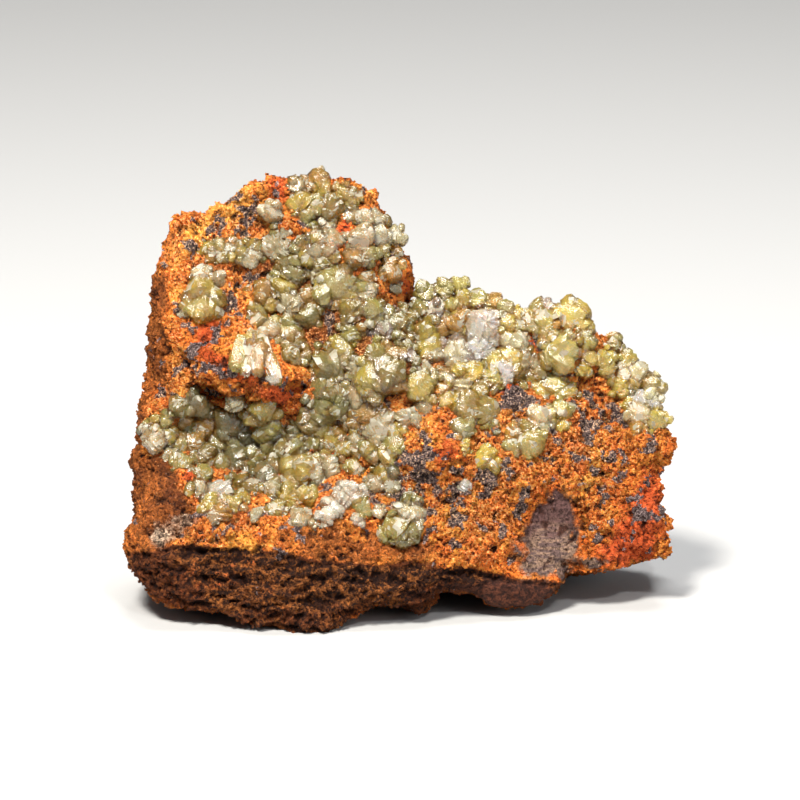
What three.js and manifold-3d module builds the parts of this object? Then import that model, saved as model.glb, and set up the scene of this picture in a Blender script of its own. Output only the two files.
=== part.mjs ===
// An adamite specimen: yellow-green adamite crystals grown on a block of rusty limonite.
// Units are millimetres. +X runs to the right, +Y away from the show face and +Z up; the block
// stands on a flat break in the plane z = 0, and the origin is the middle of its footprint.
import * as THREE from "three";
import { ConvexGeometry } from "three/addons/geometries/ConvexGeometry.js";
import { mergeVertices } from "three/addons/utils/BufferGeometryUtils.js";
import Module from "manifold-3d";

const wasm = await Module();
wasm.setup();

// The show plane
// The specimen is laid out as it shows from the front: u runs to the right, v up, and w out
// towards someone who looks down on it by SHOW_TILT.
const SHOW_TILT = THREE.MathUtils.degToRad(15);
const FOOTPRINT_MIDDLE = { x: -0.162, y: 27.385 };

function fromShow(u, v, w) {
  return new THREE.Vector3(
    u - FOOTPRINT_MIDDLE.x,
    v * Math.sin(SHOW_TILT) - w * Math.cos(SHOW_TILT) - FOOTPRINT_MIDDLE.y,
    v * Math.cos(SHOW_TILT) + w * Math.sin(SHOW_TILT),
  );
}

// Outline of the limonite block, clockwise from its upper left corner, as [u, v].
const OUTLINE = [
  [-39.9, 76.9], [-38.3, 76.0], [-34.6, 77.7], [-30.5, 79.4], [-26.5, 81.8], [-22.1, 83.4],
  [-20.1, 82.1], [-15.7, 82.1], [-9.0, 81.8], [-5.6, 81.1], [-3.6, 79.4], [-3.2, 76.7],
  [-2.6, 73.4], [-1.9, 70.3], [1.1, 68.3], [1.9, 64.9], [1.8, 62.6], [0.1, 60.6],
  [-0.6, 58.9], [1.3, 58.0], [5.1, 60.6], [10.8, 61.3], [15.9, 59.9], [21.3, 57.9],
  [26.0, 59.2], [28.7, 60.2], [31.4, 58.9], [34.0, 56.2], [37.4, 54.7], [39.4, 53.2],
  [41.4, 49.1], [45.5, 45.8], [47.5, 42.1], [50.0, 36.7], [50.3, 34.0], [48.8, 31.7],
  [47.5, 29.3], [47.0, 25.3], [47.4, 23.6], [49.8, 21.2], [49.6, 19.5], [48.2, 18.5],
  [49.2, 15.8], [48.8, 14.0], [43.5, 13.3], [40.4, 11.9], [39.4, 10.5], [34.7, 10.5],
  [31.3, 11.6], [29.0, 9.8], [28.0, 7.8], [24.6, 5.1], [20.6, 5.1], [16.6, 5.4],
  [13.2, 6.8], [9.8, 7.8], [6.8, 8.1], [3.8, 5.4], [-0.9, 5.4], [-6.3, 4.4],
  [-13.0, 1.1], [-18.4, -0.4], [-20.4, 0.6], [-23.1, 2.0], [-27.5, 1.2], [-29.2, 3.7],
  [-35.2, 4.2], [-39.3, 4.4], [-42.0, 5.8], [-46.3, 8.8], [-50.4, 14.2], [-49.4, 17.9],
  [-47.7, 21.6], [-48.4, 24.3], [-47.0, 25.9], [-48.7, 30.6], [-48.0, 34.7], [-49.0, 40.1],
  [-47.0, 43.1], [-47.3, 45.4], [-45.7, 50.8], [-44.7, 54.9], [-45.0, 59.6], [-44.3, 65.0],
  [-42.6, 70.7], [-41.6, 73.7],
].map(([u, v]) => new THREE.Vector2(u, v));
const HEART = new THREE.Vector2(-5.6, 40.7);

// Show face
const PROW = { u: -16, w: 3, rounding: 6 };
const LEAN_BACK = 0.26;
const TURN_RIGHT = 0.2;
const TURN_LEFT = 0.1;
const EDGE_ROUND = 3.2;
// The left flank falls away from a crest, as [v, u of the crest].
const CREST = [
  [-2, -44], [14, -46], [20, -43], [28, -42], [37, -45.5], [41, -43], [44, -40.5],
  [51.5, -40.5], [57, -43], [70, -41.6], [84, -40],
];
const FLANK_SLOPE = 1.3;
// Swells and hollows, as [u, v, half length, half width, turn in degrees, height, edge].
// An edge of 1 is a soft swell and a higher one has steeper sides.
const RELIEF = [
  [-29.5, 48.5, 12.5, 6.2, -30, 5.5, 2],
  [-33.5, 35.5, 12.0, 7.5, -10, -9.0, 1.4],
  [-21.0, 30.5, 13.5, 8.5, -22, -6.0, 1],
  [-13.0, 38.5, 8.5, 6.0, -30, -6.0, 1],
  [-22.0, 60.0, 7.5, 10.0, 20, -4.0, 1],
  [-37.5, 73.5, 5.5, 5.0, 0, 2.2, 1],
  [-7.0, 70.0, 8.0, 10.0, 0, 2.6, 1],
  [-4.0, 48.0, 8.0, 5.5, 20, 3.0, 1],
  [3.0, 56.0, 8.0, 6.0, -10, -4.0, 1],
  [28.0, 53.0, 9.0, 5.0, -15, 2.0, 1],
  [24.0, 29.0, 20.0, 10.0, -12, 2.6, 1],
  [4.0, 33.0, 6.0, 5.0, 0, 1.8, 1],
  [46.5, 34.5, 5.0, 5.0, 0, 2.8, 1],
  [47.0, 18.5, 5.0, 4.0, -20, 2.6, 1],
  [39.0, 22.0, 4.5, 8.0, 10, -1.8, 1],
  [26.5, 17.5, 5.0, 8.0, 8, -2.6, 2],
  [-44.5, 18.5, 6.0, 6.0, 0, 2.6, 1],
  [-26.0, 18.5, 9.0, 3.4, -4, 1.8, 1],
];
// Lumps all over the face, as [height, size].
const ROUGHNESS = [[1.5, 13], [1.3, 7], [0.7, 4]];
// Pits, as [u, v, depth of the middle, half width, half height, half depth, turn in degrees].
const PITS = [
  [-34.2, 43.8, 1.5, 5.2, 2.2, 5.0, -14],
  [-18.6, 44.4, 0.5, 3.4, 1.5, 4.0, 8],
  [-10.6, 43.6, 1.5, 2.2, 1.3, 3.5, 20],
  [-29.2, 63.2, 0.5, 1.6, 3.6, 2.6, 10],
  [-38.6, 48.8, 0.6, 1.5, 3.4, 2.4, 14],
  [33.6, 20.6, 0.8, 1.7, 4.4, 2.2, 12],
  [9.4, 24.0, 0.4, 2.2, 1.6, 1.6, 30],
];
const PIT_DETAIL = 0;
// The foot of the show face is a ledge over an undercut, as [u, v, depth of the undercut].
const LEDGE = [
  [-47, 15.0, -0.6], [-40, 16.4, 0.6], [-31, 15.9, 1.6], [-22, 15.2, 2.8], [-14.4, 12.9, 4.4],
  [-5, 12.6, 4.8], [4.4, 13.0, 4.8], [14.5, 11.8, 4.2], [22, 10.3, 3.4], [28.7, 9.6, 2.4],
  [34, 9.2, -0.6],
];
// The undercut's inner face, as [fall below the ledge, share of the undercut's depth].
const UNDERCUT_FACE = [[0.3, 1], [3.5, 0.75], [8, 0.42], [16, 0.3]];
const UNDERCUT_REACH = 14;
const UNDERCUT_ROUGHNESS = { height: 0.8, length: 30, width: 5 };

// Sides and back
const BACK_Y = 47;
const BACK_LEAN = 0.1;
// The far side is a little smaller than the show face, less so towards the foot.
const BACK_SHRINK = [[0, 0.97], [20, 0.95], [50, 0.87], [84, 0.84]];
// How soon the wall draws in: it keeps the front's outline longer with a higher number.
const WALL_DRAW_IN = 1.4;
// Lumps of the wall, as [height, size], and of the far side, as [height, length, width].
const WALL_ROUGHNESS = [[1.6, 10], [1.12, 5]];
const BACK_ROUGHNESS = [[3, 40, 19], [1.4, 55, 8]];
const BACK_ROUND = 7;
// Flat breaks, as [x, y, z of the way they face, depth that has come off there].
const BREAKS = [
  [0.15, 0.8, 0.6, 5], [0.75, 0.65, 0.2, 6], [-0.7, 0.7, 0.05, 6], [0.1, 0.95, -0.35, 4],
  [-0.35, 0.75, 0.7, 6], [0.5, 0.35, 0.8, 2], [-0.95, -0.1, 0.25, 1.5],
];
const BREAK_SIZE = 300;

// How finely the block is drawn
const RIM_POINTS = 96;
const FRONT_RINGS = 11;
const WALL_RINGS = 3;
const BACK_RINGS = 3;
const BACK_POINTS = 44;
const FEWEST_POINTS = 6;
const CLEARANCE = 0.32;

// Crystals
// Each row of three is a crystal, as [u, v, radius].
// Each row of five is a fan of blades, as [u, v, radius, direction, spread], in degrees.
// The rows of one name have grown together.
const CRYSTALS = {
  main_crust: [
    [-34.5, 69.8, 1.9], [-31.2, 69.8, 1.9], [-27.8, 69.4, 2.0], [-24.2, 69.8, 2.2],
    [-23.0, 73.2, 1.8], [-20.8, 69.8, 2.0], [-17.4, 69.4, 2.0], [-13.6, 73.0, 2.0],
    [-14.2, 69.6, 2.2], [-18.4, 65.8, 2.2], [-21.6, 62.6, 2.4],
    [-25.2, 60.7, 2.3], [-19.6, 59.0, 2.2], [-11.8, 63.2, 3.0],
    [-8.2, 60.6, 2.2], [-10.0, 57.8, 2.1], [-5.2, 58.0, 2.0],
    [-16.2, 57.4, 2.2], [-20.4, 55.0, 2.3], [-20.4, 51.4, 2.1],
    [-13.1, 47.8, 3.1], [-12.0, 51.8, 2.1], [-9.0, 53.8, 1.9], [-5.8, 47.4, 3.1],
    [-1.9, 48.0, 2.7], [-3.0, 51.8, 2.0], [-4.3, 43.8, 2.0], [-2.4, 55.4, 2.2],
    [0.8, 57.4, 2.0], [0.8, 53.2, 2.0], [2.9, 59.6, 2.0], [5.6, 61.2, 2.0],
    [8.9, 61.9, 2.0], [12.4, 60.6, 2.0], [15.8, 59.4, 1.8], [19.2, 58.3, 1.8],
    [22.8, 57.4, 1.8], [26.4, 58.9, 1.8], [4.6, 57.4, 2.0], [8.2, 58.2, 2.1],
    [11.4, 57.0, 2.0], [15.2, 55.8, 2.7], [19.4, 55.2, 2.0], [4.8, 52.8, 2.6],
    [1.4, 50.0, 1.9], [10.8, 52.2, 1.9], [14.8, 51.4, 2.6],
    [21.2, 52.0, 2.5], [8.2, 49.2, 2.3], [4.4, 45.6, 2.4],
    [17.8, 47.6, 2.3], [14.2, 45.4, 2.1], [22.2, 47.8, 2.3],
    [14.4, 42.0, 2.2], [8.8, 41.6, 2.0], [12.0, 39.4, 2.4], [16.2, 39.2, 2.2],
    [11.2, 35.8, 2.0], [26.6, 55.8, 2.3], [31.0, 56.8, 3.0], [29.6, 51.8, 2.9],
    [26.8, 46.6, 2.3], [30.2, 44.4, 2.0], [33.6, 52.6, 1.9],
  ],
  hollow_crust: [
    [-44.4, 36.8, 2.1], [-40.6, 39.8, 2.3], [-36.4, 40.8, 2.6], [-40.6, 36.0, 2.3],
    [-38.4, 32.6, 2.5], [-41.8, 32.8, 2.0],
    [-38.2, 29.2, 2.0], [-31.6, 37.4, 2.6], [-30.4, 33.0, 2.6], [-26.6, 34.4, 2.3],
    [-22.8, 33.0, 2.4], [-19.0, 34.4, 2.4], [-25.6, 29.8, 2.2],
    [-23.0, 25.6, 2.3], [-16.8, 29.2, 2.9], [-12.8, 29.6, 2.2], [-18.2, 24.8, 2.2],
    [-19.6, 21.6, 2.0], [-32.8, 26.6, 2.2], [-36.4, 25.6, 2.2], [-34.0, 23.0, 2.0],
    [-29.4, 24.2, 2.2], [-14.4, 41.0, 3.0], [-16.8, 37.4, 2.2],
    [-13.2, 36.2, 2.2], [-10.4, 39.4, 2.0], [-5.8, 39.4, 2.5],
    [-3.2, 36.2, 2.5], [-2.4, 32.4, 2.0],
    [-9.2, 31.4, 2.1], [-3.2, 28.6, 1.9],
  ],
  summit_crystals: [
    [-18.6, 80.8, 1.9], [-17.2, 78.2, 2.2], [-15.0, 82.2, 2.3], [-13.4, 79.2, 2.1],
    [-10.2, 79.4, 1.9],
  ],
  shoulder_crystals: [
    [-8.6, 75.4, 1.8], [-5.3, 75.2, 1.8], [-7.3, 71.8, 2.3], [-4.0, 72.2, 2.1],
    [-0.8, 72.4, 2.1], [-7.0, 68.6, 2.1],
  ],
  tower_edge_crystals: [[-1.6, 65.6, 2.1], [-1.0, 62.6, 1.6]],
  upper_lone_crystal: [[-23.3, 77.0, 1.9]],
  left_fan: [[-36.3, 60.9, 3.3, -70, 110]],
  nose_sheaf: [[-26.2, 50.3, 3.2, -52, 80]],
  nose_block: [[-29.3, 41.9, 1.8], [-25.8, 40.4, 2.4], [-23.7, 37.6, 2.2]],
  white_fan: [[-9.2, 25.0, 3.0, 75, 150], [-12.3, 22.9, 2.0]],
  lower_cluster: [[1.1, 20.8, 3.1, -110, 90]],
  lower_sheaf: [[22.4, 36.2, 3.2, -120, 80], [26.2, 39.2, 2.0], [29.2, 39.8, 2.0]],
  lower_lone_crystal: [[15.7, 31.5, 2.2]],
  tiny_crystal: [[11.8, 26.9, 1.0]],
  right_edge_crust: [
    [39.4, 52.2, 1.8], [38.8, 49.2, 1.9], [42.0, 48.8, 1.9], [45.4, 46.8, 1.9],
    [41.4, 45.4, 2.0],
  ],
  right_end_fan: [[45.1, 39.8, 2.9, -85, 120]],
};
// A single crystal, in parts of its radius: a wedge that widens from its root in the limonite
// to a lozenge, and closes in a hipped roof.
const ROOF = { root: -1.5, shoulder: 0.15, shoulderHalf: 1.2, ridge: 0.85, ridgeHalf: 0.4 };
const ROOF_THICKNESS = { least: 0.765, most: 1.035 };
// A blade of a fan, in parts of the fan's radius: from its root to a broad edge, with a thick
// middle rib. Every other blade is lifted by one step more.
const BLADES = 4;
const BLADE = { root: -0.4, edge: 2, edgeHalf: 0.5, rib: 1.6, ribHalf: 0.3, tip: 2.16 };
const BLADE_LIFT = { first: 0.8, step: 0.3 };
const SPLAY = 0.35;
const FACE_THE_FRONT = 0.7;
const STAND_PROUD = 0.15;
// Crystals at the rim are rooted this far inside it, and move there by this share at a time.
const SEAT_INSET = 1.2;
const SEAT_MOVE = 0.02;
// How far apart the face is felt to find the way that it faces.
const SEAT_FEEL = 1.2;
// Two crystals stand apart when they are further away than this share of their radii added,
// and then another one grows between them.
const JOINED = 0.85;
// Each crystal is this much larger than its row says, so that neighbours knit together.
const KNIT = 1.4;

// Smooth noise between -1 and 1 whose lumps are about size wide: three sine waves, each bent
// by another, so that their pattern doesn't repeat within the block.
function lumps(x, y, z, size) {
  const [a, b, c] = [(x * 3) / size, (y * 3) / size, (z * 3) / size];
  const first = Math.sin(a + 1.9 * Math.sin(0.61 * b + 0.37 * c + 0.5));
  const second = Math.sin(1.07 * b + 2.1 * Math.sin(0.55 * c + 0.43 * a + 1.7));
  const third = Math.sin(0.71 * (a + b) + 1.6 * Math.sin(0.52 * a - 0.49 * b + 0.8 * c + 3.1));
  return (first + second + third) / 3;
}

// Straight-line value between the rows of a [position, value] table.
function between(table, at) {
  if (at <= table[0][0]) return table[0][1];
  for (let i = 1; i < table.length; i++) {
    const [a, b] = [table[i - 1], table[i]];
    if (at <= b[0]) return a[1] + ((b[1] - a[1]) * (at - a[0])) / (b[0] - a[0]);
  }
  return table[table.length - 1][1];
}

// A ramp that is 0 below zero, x above it, and rounded where it turns.
function softRamp(x) {
  return (x + Math.hypot(x, PROW.rounding)) / 2;
}

function reliefAt(u, v) {
  let height = 0;
  for (const [cu, cv, halfLength, halfWidth, turn, rise, edge] of RELIEF) {
    const angle = THREE.MathUtils.degToRad(turn);
    const along = (u - cu) * Math.cos(angle) + (v - cv) * Math.sin(angle);
    const across = (v - cv) * Math.cos(angle) - (u - cu) * Math.sin(angle);
    const away = (along / halfLength) ** 2 + (across / halfWidth) ** 2;
    height += rise * Math.exp(-(away ** edge));
  }
  return height;
}

// How far the show face stands out at (u, v), before its rim is rounded.
function faceDepth(u, v) {
  let w = PROW.w - LEAN_BACK * v;
  w -= TURN_RIGHT * softRamp(u - PROW.u) + TURN_LEFT * softRamp(PROW.u - u);
  w -= FLANK_SLOPE * Math.max(0, between(CREST, v) - u);
  w += reliefAt(u, v);
  for (const [height, size] of ROUGHNESS) w += height * lumps(u, v, size, size);
  return w;
}

// How far back the far side lies at (u, v), as a w.
function backDepth(u, v) {
  let y = BACK_Y + BACK_LEAN * v;
  for (const [height, length, width] of BACK_ROUGHNESS) y += height * lumps(u, v, length, width);
  return (v * Math.sin(SHOW_TILT) - y) / Math.cos(SHOW_TILT);
}

const outlineLengths = OUTLINE.map((p, i) => p.distanceTo(OUTLINE[(i + 1) % OUTLINE.length]));
const outlineTotal = outlineLengths.reduce((sum, length) => sum + length, 0);

// The outline's point at a share of the way round.
function outlineAt(share) {
  let left = (((share % 1) + 1) % 1) * outlineTotal;
  for (let i = 0; i < OUTLINE.length; i++) {
    if (left <= outlineLengths[i]) {
      const next = OUTLINE[(i + 1) % OUTLINE.length];
      return OUTLINE[i].clone().lerp(next, left / outlineLengths[i]);
    }
    left -= outlineLengths[i];
  }
  return OUTLINE[0].clone();
}

// Distance from (u, v) to the nearest stretch of the outline, below zero outside it.
function distanceInside(u, v) {
  let nearest = Infinity;
  let inside = false;
  OUTLINE.forEach((a, i) => {
    const b = OUTLINE[(i + 1) % OUTLINE.length];
    const [du, dv] = [b.x - a.x, b.y - a.y];
    const along = ((u - a.x) * du + (v - a.y) * dv) / (du * du + dv * dv);
    const t = Math.min(1, Math.max(0, along));
    nearest = Math.min(nearest, Math.hypot(a.x + t * du - u, a.y + t * dv - v));
    if (a.y > v !== b.y > v && u < (du * (v - a.y)) / dv + a.x) inside = !inside;
  });
  return inside ? nearest : -nearest;
}

// A quarter round of the given radius, as the drop at a distance from the edge.
function quarterRound(distance, radius) {
  if (distance >= radius) return 0;
  return radius - Math.sqrt(radius ** 2 - (radius - Math.max(0, distance)) ** 2);
}

// How far the show face stands out at (u, v), with its rim rounded.
function frontDepth(u, v) {
  return faceDepth(u, v) - quarterRound(distanceInside(u, v), EDGE_ROUND);
}

// Block
// A ring of the show face: the outline shrunk towards the heart, at its own depth all round.
function frontRing(scale) {
  const count = Math.max(FEWEST_POINTS, Math.round(RIM_POINTS * scale));
  return Array.from({ length: count }, (_, i) => {
    const p = HEART.clone().lerp(outlineAt(i / count), scale);
    return fromShow(p.x, p.y, frontDepth(p.x, p.y));
  });
}

// A ring of the wall, at a share of the way from the show face to the far side.
function wallRing(share) {
  const count = Math.round(THREE.MathUtils.lerp(RIM_POINTS, BACK_POINTS, share));
  return Array.from({ length: count }, (_, i) => {
    const edge = outlineAt(i / count);
    const start = faceDepth(edge.x, edge.y) - EDGE_ROUND;
    const end = backDepth(edge.x, edge.y) + BACK_ROUND;
    const w = THREE.MathUtils.lerp(start, end, share);
    const drawnIn = share ** WALL_DRAW_IN;
    const scale = THREE.MathUtils.lerp(1, between(BACK_SHRINK, edge.y), drawnIn);
    const p = HEART.clone().lerp(edge, scale);
    const calmAtEnds = Math.sqrt(Math.sin(Math.PI * share));
    let swell = 0;
    for (const [height, size] of WALL_ROUGHNESS) swell += height * lumps(p.x, p.y, w, size);
    p.addScaledVector(edge.clone().sub(HEART).normalize(), calmAtEnds * swell);
    return fromShow(p.x, p.y, w);
  });
}

// A ring of the far side, at a share of the way out from its middle.
function backRing(share) {
  const count = Math.max(FEWEST_POINTS, Math.round(BACK_POINTS * share));
  return Array.from({ length: count }, (_, i) => {
    const edge = outlineAt(i / count);
    const p = HEART.clone().lerp(edge, between(BACK_SHRINK, edge.y) * share);
    const inset = (1 - share) * HEART.distanceTo(edge);
    return fromShow(p.x, p.y, backDepth(p.x, p.y) + quarterRound(inset, BACK_ROUND));
  });
}

function blockRings() {
  const rings = [];
  for (let k = 1; k <= FRONT_RINGS; k++) rings.push(frontRing(k / FRONT_RINGS));
  for (let k = 1; k <= WALL_RINGS; k++) rings.push(wallRing(k / (WALL_RINGS + 1)));
  for (let k = BACK_RINGS; k >= 1; k--) rings.push(backRing(k / BACK_RINGS));
  return rings;
}

// Solids
// Triangles between two rings that may have different counts, walking both round together.
function stitch(triangles, first, firstCount, second, secondCount) {
  let [i, j] = [0, 0];
  while (i < firstCount || j < secondCount) {
    const a = first + (i % firstCount);
    const b = second + (j % secondCount);
    if (j >= secondCount || (i < firstCount && (i + 1) / firstCount <= (j + 1) / secondCount)) {
      triangles.push(b, a, first + ((i + 1) % firstCount));
      i++;
    } else {
      triangles.push(b, a, second + ((j + 1) % secondCount));
      j++;
    }
  }
}

// A closed surface through a row of rings, with a point at each end.
function closedSurface(rings, firstPole, lastPole) {
  const points = [firstPole, ...rings.flat(), lastPole];
  const triangles = [];
  let start = 1;
  const starts = rings.map((r) => (start += r.length) - r.length);
  rings[0].forEach((_, i) => triangles.push(1 + i, 0, 1 + ((i + 1) % rings[0].length)));
  for (let k = 1; k < rings.length; k++) {
    stitch(triangles, starts[k - 1], rings[k - 1].length, starts[k], rings[k].length);
  }
  const last = rings.length - 1;
  const [lastStart, lastCount] = [starts[last], rings[last].length];
  for (let i = 0; i < lastCount; i++) {
    triangles.push(points.length - 1, lastStart + i, lastStart + ((i + 1) % lastCount));
  }
  const geometry = new THREE.BufferGeometry().setFromPoints(points);
  geometry.setIndex(triangles);
  return geometry;
}

function middleOf(points) {
  return points.reduce((sum, p) => sum.add(p), new THREE.Vector3()).divideScalar(points.length);
}

function solidOf(geometry) {
  const bare = geometry.clone();
  bare.deleteAttribute("normal");
  bare.deleteAttribute("uv");
  const merged = mergeVertices(bare, 1e-4);
  return new wasm.Manifold(
    new wasm.Mesh({
      numProp: 3,
      vertProperties: new Float32Array(merged.attributes.position.array),
      triVerts: new Uint32Array(merged.index.array),
    }),
  );
}

function largestBody(solid) {
  return solid.decompose().reduce((a, b) => (b.volume() > a.volume() ? b : a));
}

// A solid's surface, with each triangle shaded flat.
function facetedGeometry(solid) {
  const mesh = solid.getMesh();
  const geometry = new THREE.BufferGeometry();
  geometry.setAttribute("position", new THREE.BufferAttribute(mesh.vertProperties, 3));
  geometry.setIndex(new THREE.BufferAttribute(mesh.triVerts, 1));
  const faceted = geometry.toNonIndexed();
  faceted.computeVertexNormals();
  return faceted;
}

// The same surface with every point pushed out along its normal.
function swollen(geometry, distance) {
  const grown = geometry.clone();
  grown.computeVertexNormals();
  const [position, normal] = [grown.attributes.position, grown.attributes.normal];
  for (let i = 0; i < position.count; i++) {
    const p = new THREE.Vector3().fromBufferAttribute(position, i);
    p.addScaledVector(new THREE.Vector3().fromBufferAttribute(normal, i), distance);
    position.setXYZ(i, p.x, p.y, p.z);
  }
  return grown;
}

// A geometry in show coordinates, moved to (u, v, w) and then into the specimen's own frame.
function placedInShow(geometry, u, v, w) {
  const placed = geometry.clone();
  const position = placed.attributes.position;
  for (let i = 0; i < position.count; i++) {
    const p = fromShow(position.getX(i) + u, position.getY(i) + v, position.getZ(i) + w);
    position.setXYZ(i, p.x, p.y, p.z);
  }
  return placed;
}

function pit([u, v, sink, halfWidth, halfHeight, halfDepth, turn]) {
  const ball = new THREE.IcosahedronGeometry(1, PIT_DETAIL);
  ball.scale(halfWidth, halfHeight, halfDepth);
  ball.rotateZ(THREE.MathUtils.degToRad(turn));
  return solidOf(placedInShow(ball, u, v, frontDepth(u, v) - sink));
}

// What is missing under the ledge: sections along it, open to the front.
function undercut() {
  const { height, length, width } = UNDERCUT_ROUGHNESS;
  const sections = LEDGE.map(([u, v, depth]) => {
    const face = UNDERCUT_FACE.map(([fall, share]) => {
      const rough = height * lumps(u, v - fall, length, width);
      return fromShow(u, v - fall, faceDepth(u, v - fall) - depth * share + rough * share);
    });
    const front = faceDepth(u, v) + UNDERCUT_REACH;
    const fall = UNDERCUT_FACE[UNDERCUT_FACE.length - 1][0];
    return [fromShow(u, v, front), ...face, fromShow(u, v - fall, front)];
  });
  const last = sections[sections.length - 1];
  return solidOf(closedSurface(sections, middleOf(sections[0]), middleOf(last)));
}

// What has come off at a flat break of a block with these points.
function breakOff([x, y, z, depth], points) {
  const facing = new THREE.Vector3(x, y, z).normalize();
  const reach = Math.max(...points.map((p) => p.dot(facing)));
  const half = BREAK_SIZE / 2;
  const slab = new THREE.BoxGeometry(BREAK_SIZE, BREAK_SIZE, BREAK_SIZE).translate(0, 0, half);
  slab.applyQuaternion(
    new THREE.Quaternion().setFromUnitVectors(new THREE.Vector3(0, 0, 1), facing),
  );
  const face = facing.multiplyScalar(reach - depth);
  return solidOf(slab.translate(face.x, face.y, face.z));
}

const rings = blockRings();
const blockGeometry = closedSurface(
  rings,
  fromShow(HEART.x, HEART.y, frontDepth(HEART.x, HEART.y)),
  fromShow(HEART.x, HEART.y, backDepth(HEART.x, HEART.y)),
);
let limonite = solidOf(blockGeometry).subtract(undercut());
for (const row of PITS) limonite = limonite.subtract(pit(row));
for (const row of BREAKS) limonite = limonite.subtract(breakOff(row, rings.flat()));
const underFloor = new THREE.BoxGeometry(BREAK_SIZE, BREAK_SIZE, BREAK_SIZE);
limonite = limonite.subtract(solidOf(underFloor.translate(0, 0, -BREAK_SIZE / 2)));

// Crystals
// Random numbers from 0 to 1 that come out the same on every run.
function randomFrom(seed) {
  let state = seed * 7919 + 17;
  return () => {
    state = (Math.imul(state, 1664525) + 1013904223) >>> 0;
    return state / 4294967296;
  };
}

// The nearest place to (u, v) that is well inside the outline, and the way the block faces
// there, turned a little to the front.
function seat(u, v) {
  const p = new THREE.Vector2(u, v);
  while (distanceInside(p.x, p.y) < SEAT_INSET) p.lerp(HEART, SEAT_MOVE);
  const facing = new THREE.Vector3(
    frontDepth(p.x - SEAT_FEEL, p.y) - frontDepth(p.x + SEAT_FEEL, p.y),
    frontDepth(p.x, p.y - SEAT_FEEL) - frontDepth(p.x, p.y + SEAT_FEEL),
    2 * SEAT_FEEL,
  ).normalize();
  facing.z += FACE_THE_FRONT;
  return { point: new THREE.Vector3(p.x, p.y, frontDepth(p.x, p.y)), facing: facing.normalize() };
}

// The convex solid with the given corners, in show coordinates.
function crystal(corners) {
  return solidOf(new ConvexGeometry(corners.map((p) => fromShow(p.x, p.y, p.z))));
}

// A row's place on the block: the middle of its crystal, and the way that crystal points.
function standAt(row, random) {
  const [u, v] = row;
  const radius = row[2] * KNIT;
  const { point, facing } = seat(u, v);
  const around = random() * 2 * Math.PI;
  const axis = facing.clone();
  axis.x += SPLAY * Math.cos(around);
  axis.y += SPLAY * Math.sin(around);
  const centre = point.addScaledVector(facing, STAND_PROUD * radius);
  centre.x = u;
  centre.y = v;
  return { row, radius, centre, axis: axis.normalize(), toward: centre.clone().setX(u + 1) };
}

// The places of a cluster's rows. Each crystal turns a corner towards the nearest one before
// it, and another one grows between the two where they would stand apart.
function stands(rows, random) {
  const all = [];
  for (const row of rows) {
    const stand = standAt(row, random);
    if (all.length > 0) {
      const apart = (other) =>
        stand.centre.distanceTo(other.centre) / (stand.radius + other.radius);
      const nearest = all.reduce((best, other) => (apart(other) < apart(best) ? other : best));
      stand.toward = nearest.centre;
      if (apart(nearest) > JOINED) {
        const middle = row.slice(0, 3).map((value, i) => (value + nearest.row[i]) / 2);
        const link = standAt(middle, random);
        link.toward = nearest.centre;
        stand.toward = link.centre;
        all.push(link);
      }
    }
    all.push(stand);
  }
  return all;
}

// A crystal with a hipped roof.
function roofed({ radius, centre, axis, toward }, thickness) {
  const other = axis.clone().cross(toward.clone().sub(centre)).normalize();
  const side = other.clone().cross(axis);
  const at = (x, y, z) => {
    const p = centre.clone().addScaledVector(side, x * radius);
    return p.addScaledVector(other, y * thickness * radius).addScaledVector(axis, z * radius);
  };
  const { root, shoulder, shoulderHalf, ridge, ridgeHalf } = ROOF;
  return crystal([
    at(0, 0, root), at(shoulderHalf, 0, shoulder), at(-shoulderHalf, 0, shoulder),
    at(0, shoulderHalf, shoulder), at(0, -shoulderHalf, shoulder), at(ridgeHalf, 0, ridge),
    at(-ridgeHalf, 0, ridge),
  ]);
}

// Blades that radiate from one root, in the plane of the face, with their edges lifted.
function fan([u, v, radius, direction, spread], grow) {
  const middle = THREE.MathUtils.degToRad(direction);
  const { point } = seat(u - radius * Math.cos(middle), v - radius * Math.sin(middle));
  const { root, edge, edgeHalf, rib, ribHalf, tip } = BLADE;
  return Array.from({ length: BLADES }, (_, i) => {
    const turn = middle + THREE.MathUtils.degToRad(spread) * (i / (BLADES - 1) - 0.5);
    const lift = BLADE_LIFT.first + (i % 2) * BLADE_LIFT.step;
    const axis = new THREE.Vector3(Math.cos(turn), Math.sin(turn), lift).normalize();
    const side = new THREE.Vector3(-Math.sin(turn), Math.cos(turn), 0);
    const other = axis.clone().cross(side);
    const at = (along, across, over) => {
      const p = point.clone().addScaledVector(axis, along * radius);
      p.addScaledVector(side, across * radius + Math.sign(across) * grow);
      return p.addScaledVector(other, over * radius + Math.sign(over) * grow);
    };
    return crystal([
      at(root, 0, 0), at(edge, edgeHalf, 0), at(edge, -edgeHalf, 0), at(rib, 0, ribHalf),
      at(rib, 0, -ribHalf), at(tip, 0, 0),
    ]);
  });
}

function cluster(rows, seed, grow = 0) {
  const random = randomFrom(seed);
  let solid = null;
  for (const stand of stands(rows, random)) {
    const thickness = THREE.MathUtils.lerp(ROOF_THICKNESS.least, ROOF_THICKNESS.most, random());
    const grown = { ...stand, radius: stand.radius + grow };
    const crystals = stand.row.length === 5 ? fan(stand.row, grow) : [roofed(grown, thickness)];
    for (const one of crystals) solid = solid ? solid.add(one) : one;
  }
  return solid;
}

const specimen = new THREE.Group();
function addNode(name, solid, material) {
  const mesh = new THREE.Mesh(facetedGeometry(solid), material);
  mesh.name = name;
  specimen.add(mesh);
}

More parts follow.
